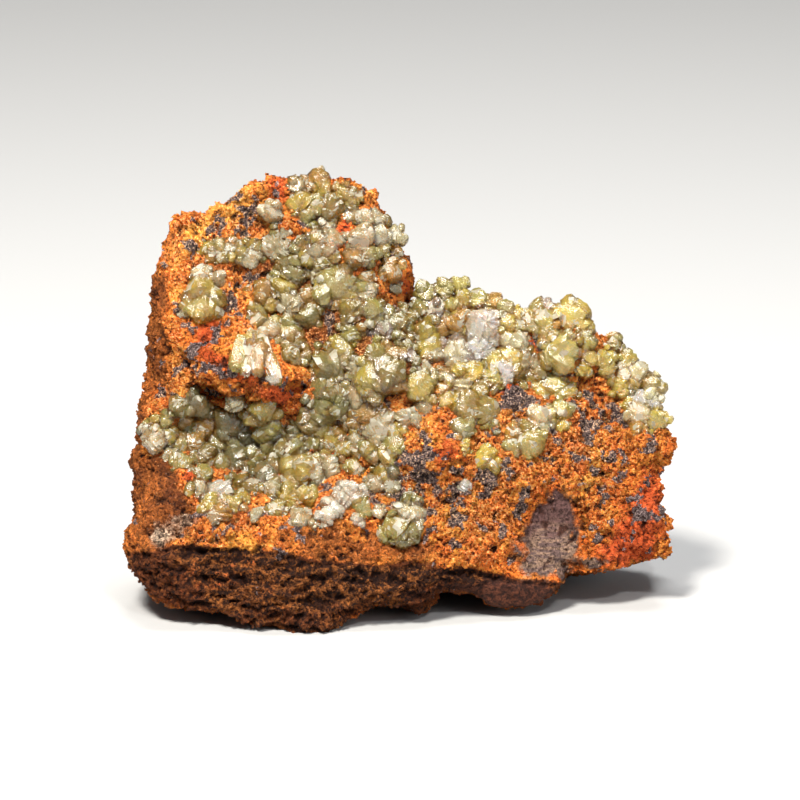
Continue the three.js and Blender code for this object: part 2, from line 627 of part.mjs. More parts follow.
const limoniteRust = new THREE.MeshStandardMaterial({
  color: 0xb4561c,
  roughness: 0.9,
  metalness: 0,
});
const adamiteGreen = new THREE.MeshStandardMaterial({
  color: 0xcfc98e,
  roughness: 0.25,
  metalness: 0,
});
addNode("limonite_matrix", largestBody(limonite), limoniteRust);

// Each cluster is cut back from the block, and from the clusters before it, by the clearance.
const blockWithClearance = solidOf(swollen(blockGeometry, CLEARANCE));
const earlierWithClearance = [];
Object.entries(CRYSTALS).forEach(([name, rows], i) => {
  let solid = cluster(rows, i + 1).subtract(blockWithClearance);
  for (const earlier of earlierWithClearance) solid = solid.subtract(earlier);
  earlierWithClearance.push(cluster(rows, i + 1, CLEARANCE));
  addNode(name, largestBody(solid), adamiteGreen);
});

export default specimen;
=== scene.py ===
# %% [markdown]
# # Adamite on rusty limonite
#
# This lesson dresses a mineral specimen: a broken block of rust-orange limonite whose leaning
# show face carries a crust of small yellow-green adamite crystals. The plain solids that say
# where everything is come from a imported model, which is loaded first and never moved.
# Everything new is worked out with numpy in millimetres and stored in metres.

# %% Load the fixed frame
import math

import bpy
import numpy as np
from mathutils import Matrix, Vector
from mathutils.bvhtree import BVHTree


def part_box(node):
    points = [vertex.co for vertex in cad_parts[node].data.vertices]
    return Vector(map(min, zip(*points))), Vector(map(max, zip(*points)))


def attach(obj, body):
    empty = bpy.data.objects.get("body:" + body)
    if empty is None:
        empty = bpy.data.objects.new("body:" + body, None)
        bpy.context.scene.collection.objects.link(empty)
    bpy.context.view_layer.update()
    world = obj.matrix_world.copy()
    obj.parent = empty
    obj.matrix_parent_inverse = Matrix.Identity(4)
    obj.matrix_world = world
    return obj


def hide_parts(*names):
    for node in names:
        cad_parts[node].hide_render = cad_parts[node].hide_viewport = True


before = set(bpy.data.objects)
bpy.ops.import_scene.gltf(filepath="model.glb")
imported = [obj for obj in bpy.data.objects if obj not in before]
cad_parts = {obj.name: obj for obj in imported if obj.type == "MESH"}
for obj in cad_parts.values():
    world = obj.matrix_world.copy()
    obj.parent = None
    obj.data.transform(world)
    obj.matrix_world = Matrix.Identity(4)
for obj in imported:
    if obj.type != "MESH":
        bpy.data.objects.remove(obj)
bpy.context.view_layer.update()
MM = 0.001
scene = bpy.context.scene


# %% Write helpers for objects and meshes
def place_in_scene(name, data):
    """A new object that shows the data."""
    thing = bpy.data.objects.new(name, data)
    scene.collection.objects.link(thing)
    return thing


def new_mesh(name, points, faces):
    """A mesh from arrays of points in metres and of faces."""
    mesh = bpy.data.meshes.new(name)
    mesh.from_pydata(points.tolist(), [], faces.tolist())
    mesh.update()
    return mesh


def read(items, key, width, kind=np.float32):
    """What each of a mesh's items holds under a key, as rows of width numbers."""
    values = np.empty((len(items), width), kind)
    items.foreach_get(key, values.ravel())
    return values


def with_modifiers(thing):
    """A new mesh of what an object's modifiers make of it."""
    graph = bpy.context.evaluated_depsgraph_get()
    return bpy.data.meshes.new_from_object(thing.evaluated_get(graph))


# %% [markdown]
# ## Show coordinates
#
# A mineral is easiest to describe as it shows from the front. So each place is given as
# u to the right, v up and w out towards someone who looks down on the piece by 15 degrees.
# A turn by that angle takes these to the frame's own x, y and z.

# %% Turn show coordinates into the frame's
SHOW_TILT = math.radians(15)
SIN, COS = math.sin(SHOW_TILT), math.cos(SHOW_TILT)
FOOTPRINT_MIDDLE = (-0.162, 27.385)


def from_show(places):
    """x = u - middle x, y = v sin(tilt) - w cos(tilt) - middle y, z = v cos(tilt) + w sin(tilt)."""
    u, v, w = np.moveaxis(np.asarray(places, float), -1, 0)
    x, y = FOOTPRINT_MIDDLE
    return np.stack([u - x, v * SIN - w * COS - y, v * COS + w * SIN], -1)


def to_show(points):
    """The way back: v = y' sin(tilt) + z cos(tilt), w = z sin(tilt) - y' cos(tilt)."""
    x, y, z = np.moveaxis(np.asarray(points, float), -1, 0)
    y = y + FOOTPRINT_MIDDLE[1]
    return np.stack([x + FOOTPRINT_MIDDLE[0], y * SIN + z * COS, z * SIN - y * COS], -1)


TOWARDS_VIEWER = np.array([0.0, -COS, SIN])
print("the viewer stands along", TOWARDS_VIEWER.round(3))

# %% [markdown]
# ## Camera
#
# The photo was taken from some way off and a little above. A long lens keeps the block's
# outline true, and its distance follows from the width of the view at the show plane.

# %% Set the camera
VIEW_WIDTH = 144.3
VIEW_MIDDLE = (0.0, 42.36, 0.0)
LENS, SENSOR = 300, 36
CLIPPING = (0.05, 20)
distance = VIEW_WIDTH * LENS / SENSOR
camera = place_in_scene("camera", bpy.data.cameras.new("camera"))
camera.data.lens = LENS
camera.data.sensor_width = SENSOR
camera.data.clip_start, camera.data.clip_end = CLIPPING
camera.location = Vector((from_show(VIEW_MIDDLE) + distance * TOWARDS_VIEWER) * MM)
camera.rotation_euler = (math.radians(90) - SHOW_TILT, 0, 0)
scene.camera = camera
print("camera", distance, "mm away")

# %% [markdown]
# ## Floor and light
#
# A pale matt floor and soft lamps suit a mineral: a key lamp above the viewer's left shoulder,
# a weak fill on the right and a lamp overhead. Flat crystal faces flash when they mirror a
# lamp, so a small one on the right adds sharper glints.

# %% Make the floor
FLOOR_WIDTH = 12.0
FLOOR_COLOUR, FLOOR_ROUGHNESS = (0.42, 0.42, 0.415, 1), 0.6
floor_corners = np.array([[-1, -1, 0], [1, -1, 0], [1, 1, 0], [-1, 1, 0]]) * FLOOR_WIDTH / 2
floor = place_in_scene("floor", new_mesh("floor", floor_corners, np.array([[0, 1, 2, 3]])))
paint = bpy.data.materials.new("pale_floor")
paint.use_nodes = True
paint_inputs = paint.node_tree.nodes["Principled BSDF"].inputs
paint_inputs["Base Color"].default_value = FLOOR_COLOUR
paint_inputs["Roughness"].default_value = FLOOR_ROUGHNESS
floor.data.materials.append(paint)
print("floor", FLOOR_WIDTH, "m wide")

# %% Hang the lamps
# Each lamp is (place in metres, width, height, watts, colour), and looks at the crystals.
LAMPS = {
    "key": ((-0.26, -0.52, 0.88), 0.22, 0.20, 25.0, (1.0, 0.96, 0.90)),
    "fill": ((0.75, -0.65, 0.35), 0.5, 0.4, 2.6, (0.95, 0.97, 1.0)),
    "top": ((0.05, 0.12, 0.70), 0.4, 0.2, 5.0, (1.0, 1.0, 1.0)),
    "glint": ((0.22, -0.7, 0.75), 0.08, 0.08, 4.0, (1.0, 1.0, 1.0)),
}
LOOK_AT = Vector((0, -0.01, 0.04))
SKY_COLOUR, SKY_STRENGTH = (0.9, 0.94, 1.0, 1), 0.17
for name, (place, width, height, watts, colour) in LAMPS.items():
    data = bpy.data.lights.new(name, "AREA")
    data.shape = "RECTANGLE"
    data.size, data.size_y = width, height
    data.energy = watts
    data.color = colour
    lamp = place_in_scene(name, data)
    lamp.location = place
    lamp.rotation_euler = (LOOK_AT - Vector(place)).to_track_quat("-Z", "Y").to_euler()
world = bpy.data.worlds.new("studio")
world.use_nodes = True
sky_inputs = world.node_tree.nodes["Background"].inputs
sky_inputs["Color"].default_value = SKY_COLOUR
sky_inputs["Strength"].default_value = SKY_STRENGTH
scene.world = world
scene.view_settings.view_transform = "Standard"
print(len(LAMPS), "lamps")

# %% [markdown]
# ## Noise
#
# Rock is rough at every size. Blender has noise for shaders, but the shape of the block has to
# be real, so the same kinds of noise are worked out here for arrays of points: a smooth one
# from slopes at the corners of a lattice, and a cellular one from scattered seeds.

# %% Write the noise functions
TABLE_SIZE = 4096
HASH_FACTORS, SEED_FACTOR = np.array([73856093, 19349663, 83492791]), 2654435761
SMOOTH_GAIN = 1.7
FAR = 9.0
slopes = np.random.default_rng(11).normal(size=(TABLE_SIZE, 3))
slopes /= np.linalg.norm(slopes, axis=1, keepdims=True)
scatter = np.random.default_rng(12).random((TABLE_SIZE, 3))


def table_index(cells, seed):
    """A steady, random-looking place in the tables for each whole-numbered cell."""
    mixed = cells * HASH_FACTORS + seed * SEED_FACTOR
    mixed = mixed[..., 0] ^ (mixed[..., 1] >> 1) ^ (mixed[..., 2] << 1)
    return (mixed ^ (mixed >> 15)) % TABLE_SIZE


def smooth_noise(points, size, seed):
    """Each corner of a lattice has a slope, and a point blends its eight corners' slopes."""
    place = points / size
    cell = np.floor(place).astype(np.int64)
    inside = place - cell
    blend = inside**3 * (inside * (inside * 6 - 15) + 10)
    total = np.zeros(len(points))
    for corner in np.ndindex(2, 2, 2):
        corner = np.array(corner)
        slope = slopes[table_index(cell + corner, seed)]
        share = np.prod(np.where(corner, blend, 1 - blend), axis=1)
        total += share * ((inside - corner) * slope).sum(1)
    return total * SMOOTH_GAIN


def cell_noise(points, size, seed):
    """The distance to the nearest of seeds, of which each lattice cell has one."""
    place = points / size
    cell = np.floor(place).astype(np.int64)
    nearest = np.full(len(points), FAR)
    for step in np.ndindex(3, 3, 3):
        near = cell + np.array(step) - 1
        away = np.linalg.norm(near + scatter[table_index(near, seed)] - place, axis=1)
        nearest = np.minimum(nearest, away)
    return nearest


def layered_noise(points, size, seed, layers, fall=0.5):
    """Smooth noise, plus the same at half the size and fall times the height, and so on."""
    total, height = 0, 1.0
    for layer in range(layers):
        total = total + height * smooth_noise(points, size / 2**layer, seed + layer)
        height *= fall
    return total


def bend(points, columns, size, seed, layers):
    """A layered noise of its own for each column: how far to bend the points that way."""
    return np.stack([layered_noise(points, size, seed + i, layers) for i in range(columns)], 1)


print("noise of one point:", smooth_noise(np.array([[1.3, 2.7, 0.4]]), 2, 1).round(3))

# %% [markdown]
# ## The block's shape
#
# The limonite is a spongy, crumbly rock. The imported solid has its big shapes, the ledge, the
# nose, the hollow and the breaks, in flat facets. A copy of it is remeshed to even small
# faces, smoothed so that the facets go, and then pushed in and out along its normals.

# %% Copy and remesh the block
VOXEL = 0.53
SMOOTHING_STEPS = (0.6, -0.5) * 8
SAME_PLACE = 1e-7
FLAT_BASE = 0.4


def merged_arrays(mesh):
    """A mesh's corner points and triangles as arrays, with points at one place made one."""
    mesh.calc_loop_triangles()
    points = read(mesh.vertices, "co", 3)
    triangles = read(mesh.loop_triangles, "vertices", 3, np.int32)
    cells = (points / SAME_PLACE).round().astype(np.int64)
    _, first, back = np.unique(cells, axis=0, return_index=True, return_inverse=True)
    return points[first].astype(float), back.reshape(-1)[triangles]


def smoothed(points, edges, steps):
    """Point + step (mean of neighbours - point), for each step: towards the mean, or away."""
    count = np.bincount(edges.ravel(), minlength=len(points))[:, None]
    a, b = edges.T
    for step in steps:
        total = [
            np.bincount(a, column[b], len(points)) + np.bincount(b, column[a], len(points))
            for column in points.T
        ]
        points = points + step * (np.stack(total, 1) / count - points)
    return points


block_points, block_triangles = merged_arrays(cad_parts["limonite_matrix"].data)
rough = place_in_scene("rough", new_mesh("limonite", block_points, block_triangles))
remesh = rough.modifiers.new("remesh", "REMESH")
remesh.mode = "VOXEL"
remesh.voxel_size = VOXEL * MM
remesh.adaptivity = 0
block_mesh = with_modifiers(rough)
bpy.data.objects.remove(rough)
block_points = read(block_mesh.vertices, "co", 3).astype(float)
block_edges = read(block_mesh.edges, "vertices", 2, np.int32)
flat_base = block_points[:, 2] < FLAT_BASE * VOXEL * MM
block_points = smoothed(block_points / MM, block_edges, SMOOTHING_STEPS)
print("block:", len(block_points), "points,", 2 * len(block_mesh.polygons), "triangles")

# %% [markdown]
# ## The tower's rim
#
# The tower ends in an uneven broken rim, which the imported solid's flat breaks cut too low. It
# could be built anew, but only its height is wrong. So the points near the top are stretched
# up, by what a given line says.

# %% Raise the rim
# How much higher the rim stands, as [u, lift] in show millimetres, from these heights up.
RIM_LIFT = [
    [-47, 1], [-42, 4.2], [-39.5, 4.4], [-37, 2.6], [-35.4, 2.3], [-33.6, 3.8], [-24, 4.2],
    [-18, 3.6], [-10, 2.8], [-5, 3.6], [-3.6, 2.2], [-2.5, 0.4], [0, 0],
]
RIM_HEIGHTS = (54, 72)
# The tower's left edge reaches this much further out, across these u, from and to these v.
EDGE_REACH = 1.5
EDGE_ACROSS, EDGE_FROM, EDGE_TO = (-36, -43), (44, 58), (74, 66)


def soft_step(low, high, value):
    """0 below low, 1 above high, and an S between them: t t (3 - 2 t)."""
    t = np.clip((value - low) / (high - low), 0, 1)
    return t * t * (3 - 2 * t)


def line_value(table, at):
    """The straight-line value of a two-column table."""
    return np.interp(at, *np.array(table, float).T)


show = to_show(block_points)
lift = line_value(RIM_LIFT, show[:, 0])
reach = EDGE_REACH * soft_step(*EDGE_ACROSS, show[:, 0])
reach *= soft_step(*EDGE_FROM, show[:, 1]) * soft_step(*EDGE_TO, show[:, 1])
show[:, 1] += lift * soft_step(*RIM_HEIGHTS, show[:, 1])
show[:, 0] -= reach
block_points = from_show(show)
print("rim lifted by up to", lift.max(), "mm")

# %% [markdown]
# ## Zones of the block
#
# The real block isn't rough in the same way all over. The right of the show face is grainy,
# the left flank crumbles, a smooth streaked patch shows at the lower right, and the foot under
# the ledge lies in layers. Each zone is a few soft spots, given in show coordinates.

# %% Lay the zones
# A spot is u, v, half length, half width, turn in degrees and strength.
ZONES = {
    "ochre": """
    -37.5 73 5 3 40 0.9, -28.5 78.5 6 3 20 0.8, -41 62 6 2 85 0.45, -33 63.5 3 2 30 0.6,
    -42 43 4 3 30 0.5, -29 16.4 10 2.2 -4 0.7, 34.4 26.5 4 2 80 0.7, 24.6 30.6 5 3 0 0.5,
    9 20 8 6 10 0.6, 4 36 5 4 20 0.6, 38 30 7 4 -30 0.4""",
    "red": """
    -10 73 6 1.6 80 1, -19.8 71.4 2.5 1.5 60 0.9, -21.6 42.8 4 2.2 70 1.2, -31.5 48.6 7 3 -35 0.9,
    -12 32.4 4 2 -25 1.2, -37.6 28.8 1.8 1.2 0 1, 29.2 59 2.5 1.6 0 1, 44.5 22 11 5 80 0.95,
    19.5 45 2.5 1.6 50 0.9, 0.8 63.5 4 1.6 80 0.8, 25.8 52.6 3.5 2.4 20 0.8, -35 54.5 3 3 0 0.7,
    -33 10 8 3 0 0.4, 7.5 33 3 4 0 0.6, -23.5 81.5 2.5 1.8 0 0.6, 48 49 6 3 -50 0.4,
    40 15.5 5 3 0 0.6""",
    "dark": """
    -27.4 76.5 4 1.5 75 0.9, -32.4 73.8 2.5 1.6 0 0.8, -18.1 72.4 3 1.2 70 1, -29.2 61.6 4 1.8 75 1,
    -32.5 47.4 4 2.4 -20 1, -37.9 50.2 3.5 2.4 40 0.9, -31.9 56.2 4 2 20 0.9,
    -38.3 70.6 2 1.2 0 0.8, -3 68.3 2.5 1.2 30 0.9, -13 56.9 2.5 1.6 60 0.9, 2 30.5 5 4 30 0.8,
    14 27.2 4 3 40 0.8, 21.2 41.6 5 2 30 0.9, 19 43.6 4 2 -30 0.7, 34.2 39 5 4 60 0.5,
    -1 24 4 2.4 20 0.6, 21.8 24.6 4 1.6 70 0.7, -25 18.4 4 1.2 0 0.7, -21.5 45.5 2 2 0 0.6,
    40.5 35 4 2.5 0 0.4, 8 19 4 2 20 0.5""",
    "grainy": "26 32 24 14 -20 1, 8 24 12 9 0 0.9, 44 26 8 14 0 0.8",
    "streaked": "27.9 21.4 4.6 4.1 84 1.3, 26.6 14 5.6 4.2 0 1.3, 36.6 12.8 2.8 1.6 -10 1.2",
    "bleached": "-42.8 18.4 3.2 2.4 20 1, -38.5 21.5 2.2 1.4 0 0.6",
    "knobby": "50 20 7 17 0 1, 51 38 5 9 0 0.8",
    "flat_break": "19 6.4 12 3.6 -8 1.5",
    # The shaded spots are painted shade on the rock between the crystals.
    "shaded": """
    -23 66 7 4 -20 0.6, -17 61 13 9 -50 0.9, -2 50 14 8 -20 0.8, 16 52 15 7 -8 0.8,
    -22 33 20 8 0 0.9""",
    "russet": "-11.8 16.4 12 3.3 -5 1.3, -40.5 21 5 4 0 0.7, 5 16 5 2.5 0 0.6",
}
# Left of the crest and below the ledge the rock is browner, as [v, u] and [u, v] lines.
CREST = [
    [-2, -43], [14, -42.5], [18, -40], [24, -38.6], [29, -40.5], [33, -45.5], [41, -46.5],
    [45, -42.5], [51.5, -41], [57, -43], [70, -42.5], [84, -41],
]
LEDGE = [
    [-52, 14.5], [-47, 15.0], [-40, 16.4], [-31, 15.9], [-22, 15.2], [-14.4, 12.9], [-5, 12.6],
    [4.4, 13.0], [14.5, 11.8], [22, 10.3], [28.7, 9.6], [34, 9.2], [52, 9.0],
]
# How far, how finely and from which seed noise bends the spots' outlines, and a ragged one's.
WOBBLE, WOBBLE_NOISE = 1.8, (9, 40, 3)
RAGGED, RAGGED_NOISE = 1.6, (3.2, 45, 3)
FRONT = (-0.15, 0.35)
LEDGE_WOBBLE, LEDGE_EDGE, FOOT_START = 0.6, (-0.2, 1.2), (-45, -31)
CREST_WOBBLE, CREST_EDGE = 1.5, (-0.5, 1.5)
PLUM_HEIGHTS = (13, 23)


def spots(places, text):
    """The sum of strength e^-(along^2 + across^2), both measured in half sizes."""
    total = np.zeros(len(places))
    for row in text.split(","):
        u, v, half_length, half_width, turn, strength = map(float, row.split())
        c, s = math.cos(math.radians(turn)), math.sin(math.radians(turn))
        along = (places[:, 0] - u) * c + (places[:, 1] - v) * s
        across = (places[:, 1] - v) * c - (places[:, 0] - u) * s
        total += strength * np.exp(-((along / half_length) ** 2) - (across / half_width) ** 2)
    return total


def point_normals(mesh, points):
    """Normals at the mesh's points after they have been moved there, in millimetres."""
    mesh.vertices.foreach_set("co", (points * MM).astype(np.float32).ravel())
    mesh.update()
    return read(mesh.vertex_normals, "vector", 3).astype(float)


normals = point_normals(block_mesh, block_points)
show = to_show(block_points)
wobble = bend(show, 2, *WOBBLE_NOISE)
bent = show[:, :2] + WOBBLE * wobble
ragged = bent + RAGGED * bend(show, 2, *RAGGED_NOISE)
facing_front = soft_step(*FRONT, normals @ TOWARDS_VIEWER)
zone = {}
for name, text in ZONES.items():
    zone[name] = spots(ragged if name == "streaked" else bent, text) * facing_front
ledge_height = line_value(LEDGE, show[:, 0]) + LEDGE_WOBBLE * wobble[:, 0]
below_ledge = ledge_height - show[:, 1]
zone["foot"] = soft_step(*LEDGE_EDGE, below_ledge) * facing_front
# The foot's relief and its partly painted brown fade out to the left.
zone["foot"] *= 0.5 + 0.5 * soft_step(*FOOT_START, bent[:, 0])
left_of_crest = line_value(CREST, show[:, 1]) + CREST_WOBBLE * wobble[:, 1] - show[:, 0]
zone["flank"] = np.maximum(soft_step(*CREST_EDGE, left_of_crest), 1 - facing_front)
zone["flank"] = np.maximum(zone["flank"], np.minimum(zone["russet"], 1))
zone["plum"] = soft_step(*PLUM_HEIGHTS, ragged[:, 1])
print({name: round(float(value.mean()), 3) for name, value in zone.items()})

# %% [markdown]
# ## Relief
#
# Limonite is laid down by seeping water, as knobs, crumbs and layers with pores and cracks.
# They could be modelled one by one, but there are thousands. So each kind is a noise that moves
# every point along its normal, stronger in the zones that show it most.

# %% Push the surface in and out
# Folded or smooth noise: height and size in millimetres, seed, layers and their fall.
RELIEF = {
    "swells": (0.8, 11, 3, 2, 0.5), "crumbs": (0.55, 2.4, 21, 3, 0.6),
    "layers": (2.0, 3.4, 35, 3, 0.6), "cracks": (0.9, 4.6, 31, 2, 0.5),
    "pores": (0.9, 2.8, 51, 3, 0.6),
}
# Round bumps: height and size in millimetres, seed, and where they cross the surface.
BUMPS = {"knobs": (1.1, 3.8, 5, 0.55), "big_knobs": (2.8, 6.0, 6, 0.72), "grains": (0.3, 1.5, 9, 0.5)}
BEND, BEND_NOISE = 0.9, (3.0, 61, 2)
LAYER_SQUASH, CRACK_SQUASH = np.array([0.3, 0.3, 1.3]), np.array([0.5, 0.5, 1.4])
CRUMB_FOLD, LAYER_MIDDLE, CRACK_EDGE, PORE_EDGE = 2.2, 0.3, (0.0, 0.13), (0.45, 0.85)
CALM = 0.85
# The streaks' height, and how fast they run along u, along v and with the wobble.
STREAKS = (0.13, 5.2, 1.2, 5)
# The groove under the ledge: its depth, how far below the ledge it is and its half width.
GROOVE = (0.9, 0.9, 0.7)
BOX_EXCESS = np.array([1.4, 0.7, 5.0])


def rock_relief(points, show, zone):
    """Swells + knobs + calm x (knobs, crumbs, grains, layers, cracks, pores) + streaks - groove."""

    def noise(kind, places):
        """The height of a kind of relief, and its noise."""
        return RELIEF[kind][0], layered_noise(places, *RELIEF[kind][1:])

    def bumps(kind):
        """Height x (middle - distance to the nearest seed)."""
        height, size, seed, middle = BUMPS[kind]
        return height * (middle - cell_noise(twisted, size, seed))

    twisted = points + BEND * bend(points, 3, *BEND_NOISE)
    grainy, foot = np.minimum(zone["grainy"], 1), zone["foot"]
    height, value = noise("crumbs", points)
    fine = bumps("knobs") * (1 - 0.4 * grainy) + height * (1 - CRUMB_FOLD * np.abs(value))
    fine += bumps("grains") * (0.8 + grainy)
    height, value = noise("layers", twisted * LAYER_SQUASH)
    fine += height * foot * (LAYER_MIDDLE - np.abs(value))
    height, value = noise("cracks", twisted * CRACK_SQUASH)
    crack_share = 0.2 + 0.9 * foot + 0.5 * zone["flank"]
    fine -= height * ((1 - soft_step(*CRACK_EDGE, np.abs(value))) * crack_share)
    height, value = noise("pores", twisted)
    fine -= height * soft_step(*PORE_EDGE, value)
    height, value = noise("swells", points)
    broad = height * value + bumps("big_knobs") * np.minimum(zone["knobby"], 1)
    calm = 1 - CALM * np.clip(zone["streaked"] + zone["flat_break"], 0, 1)
    height, along, up, bent_by = STREAKS
    streaks = height * np.sin(show[:, 0] * along + up * show[:, 1] + bent_by * wobble[:, 0])
    streaks = streaks * np.clip(zone["streaked"], 0, 1)
    depth, below, half_width = GROOVE
    groove = depth * np.exp(-(((show[:, 1] - ledge_height + below) / half_width) ** 2)) * foot
    return broad + calm * fine + streaks - groove, -fine + groove


def in_box(points):
    """The points, kept above the floor and within BOX_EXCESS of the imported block's box."""
    points = np.clip(points, low_corner - BOX_EXCESS, high_corner + BOX_EXCESS)
    points[:, 2] = np.maximum(points[:, 2], 0)
    return points


low_corner, high_corner = (np.array(c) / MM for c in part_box("limonite_matrix"))
height, hollow = rock_relief(block_points, show, zone)
moved = in_box(block_points + normals * height[:, None])
moved[flat_base, 2] = 0
block_normals = point_normals(block_mesh, moved)
print("relief from", height.min().round(2), "to", height.max().round(2), "mm")

# %% [markdown]
# ## Limonite, the finish
#
# Limonite is rust: mostly orange-brown, ochre yellow where it is powdery, red where it holds
# haematite, and purple-black where goethite grew in little warts. One shader mixes all of
# these, with painted shade in the crevices, under the ledge and between the crystals, and painted
# highlights on the grain tops and the warts. The zones come in as attributes of the points, and
# noise breaks up their edges.

# %% Keep the zones on the points
block_mesh.polygons.foreach_set("use_smooth", np.ones(len(block_mesh.polygons), bool))
# How much each zone adds to the share of goethite warts.
WARTINESS = {"dark": 0.95, "grainy": 0.17, "foot": -0.5, "flank": -0.25, "streaked": -0.6}
WART_PATCHES, WART_LUMPS, LUMP_SHARE, WART_EDGE = (3.0, 71, 2), (1.1, 75, 2), 0.4, (0.4, 0.66)
# Painted shade under the ledge: how much darker, how far below the ledge and its half width in
# millimetres.
LEDGE_SHADE_BAND = (0.55, 2.0, 2.9)
# The foot's brown, partly painted shade, weakens by this much towards the base, between these heights.
PALER_BASE, BASE_HEIGHTS = 0.3, (7, 2)
LEAST, MOST = -1, 1.5
SHADER_ZONES = (
    "ochre", "red", "goethite", "streaked", "plum", "flat_break", "bleached", "foot", "flank",
    "hollow", "nodule", "shaded",
)


def keep_attribute(mesh, name, values):
    """Stores one number at each point of a mesh, for the shader to read."""
    attribute = mesh.attributes.new(name, "FLOAT", "POINT")
    attribute.data.foreach_set("value", np.asarray(values, np.float32))


wart_share = layered_noise(block_points, *WART_PATCHES)
wart_share = wart_share + LUMP_SHARE * layered_noise(block_points, *WART_LUMPS)
zone["dark"] = np.minimum(zone["dark"], 1)
for name, weight in WARTINESS.items():
    wart_share = wart_share + weight * zone[name]
zone["goethite"] = soft_step(*WART_EDGE, wart_share)
print("goethite covers", round(float((zone["goethite"] * facing_front).sum() / facing_front.sum()), 3))
zone["hollow"] = np.clip(hollow, LEAST, MOST)
zone["nodule"] = np.full(len(moved), 0.5)
# Painted shade: the foot's brown deepens in a band under the ledge and fades towards the base.
darker, below, half_width = LEDGE_SHADE_BAND
zone["foot"] = zone["foot"] * (1 + darker * np.exp(-(((below_ledge - below) / half_width) ** 2)))
zone["foot"] = zone["foot"] * (1 - PALER_BASE * soft_step(*BASE_HEIGHTS, show[:, 1]))
for name in SHADER_ZONES:
    keep_attribute(block_mesh, name, np.clip(zone[name], LEAST, MOST))
limonite = place_in_scene("limonite_block", block_mesh)
print(limonite.name, "holds", len(SHADER_ZONES), "zones")


# %% Write short helpers for shader nodes
class Nodes:
    """A material's nodes, added and linked in one call each."""

    def __init__(self, name):
        """Starts a material, with its shader, its output and the places on the object."""
        self.material = bpy.data.materials.new(name)
        self.material.use_nodes = True
        self.tree = self.material.node_tree
        self.shader = self.tree.nodes["Principled BSDF"]
        self.out = self.tree.nodes["Material Output"]
        self.place = self.add("TexCoord", "Object")

    def put(self, value, socket):
        """A number or colour is set on the socket, and an output is linked to it."""
        if isinstance(value, bpy.types.NodeSocket):
            self.tree.links.new(value, socket)
        elif isinstance(value, tuple) and len(value) == 3 and socket.type == "RGBA":
            socket.default_value = (*value, 1)
        else:
            socket.default_value = value

    def add(self, kind, output, inputs=(), **settings):
        """Adds a node with its settings, fills its inputs and gives the output of that name."""
        node = self.tree.nodes.new("ShaderNode" + kind)
        for name, value in settings.items():
            setattr(node, name, value)
        for name, value in dict(inputs).items():
            self.put(value, node.inputs[name])
        return node.outputs[output]

    def attribute(self, name, output="Fac"):
        """What the mesh holds under a name, as a number or a "Color"."""
        return self.add("Attribute", output, attribute_name=name)

    def noise(self, size, detail=3.0, roughness=0.55, stretch=None):
        """Smooth noise whose lumps are size millimetres wide, from 0 to 1."""
        inputs = {"Vector": self.place, "Scale": 1 / (size * MM)}
        if stretch:
            inputs["Vector"] = self.add("Mapping", "Vector", {"Vector": self.place, "Scale": stretch})
        return self.add("TexNoise", "Fac", {**inputs, "Detail": detail, "Roughness": roughness})

    def maths(self, operation, a, b):
        """One operation on two numbers or outputs."""
        return self.add("Math", 0, {0: a, 1: b}, operation=operation)

    def sum(self, *terms):
        """The sum of weight x output over pairs of the two."""
        total = None
        for weight, output in terms:
            term = self.maths("MULTIPLY", output, weight)
            total = term if total is None else self.maths("ADD", total, term)
        return total

    def ramp(self, value, low, high, start=0.0, end=1.0):
        """An S curve from start, where value is low, to end, where it is high."""
        inputs = {"Value": value, "From Min": low, "From Max": high, "To Min": start, "To Max": end}
        return self.add("MapRange", "Result", inputs, interpolation_type="SMOOTHSTEP")

    def mix(self, share, a, b, blend="MIX"):
        """Colour a, and share of colour b."""
        inputs = {"Factor": share, "A": a, "B": b}
        return self.add("Mix", "Result", inputs, data_type="RGBA", blend_type=blend)

    def bump(self, height, depth, onto=None):
        """Small relief from a height between 0 and 1, depth millimetres deep."""
        inputs = {"Strength": 1, "Distance": depth * MM, "Height": height}
        if onto is not None:
            inputs["Normal"] = onto
        return self.add("Bump", "Normal", inputs)


print("node helpers ready")


# %% Mix the limonite
RUST = {
    "orange": (0.72, 0.145, 0.016),
    "bright": (0.95, 0.32, 0.045),
    "ochre": (0.95, 0.37, 0.05),
    "red": (0.80, 0.13, 0.03),
    "rusty": (0.50, 0.145, 0.028),
    "brown": (0.145, 0.038, 0.010),
    "tan": (0.32, 0.105, 0.022),
    # Painted highlight on the tops of grains.
    "painted_grain_highlight": (1.0, 0.58, 0.25),
    # Painted shade in hollows and crevices.
    "painted_crevice_shade": (0.022, 0.006, 0.003),
    "goethite": (0.10, 0.062, 0.058),
    # Painted glints on the goethite warts.
    "painted_goethite_glint": (0.41, 0.305, 0.285),
    "streaked": (0.150, 0.092, 0.062),
    "streak_dark": (0.075, 0.046, 0.040),
    "plum": (0.062, 0.030, 0.027),
    # Partly painted shade: the flat break under the slab faces down.
    "break": (0.040, 0.012, 0.006),
    "bleached": (0.50, 0.35, 0.24),
}
# Each noise is its size in millimetres, detail, roughness and stretch along x, y and z.
RUST_NOISE = {
    "broad": (9,), "patch": (3.2, 4), "crumb": (1.1, 5, 0.7), "grain": (0.55, 4, 0.7),
    "speck": (0.25, 3), "lines": (1.0, 4, 0.65, (0.3, 0.3, 1.5)),
}
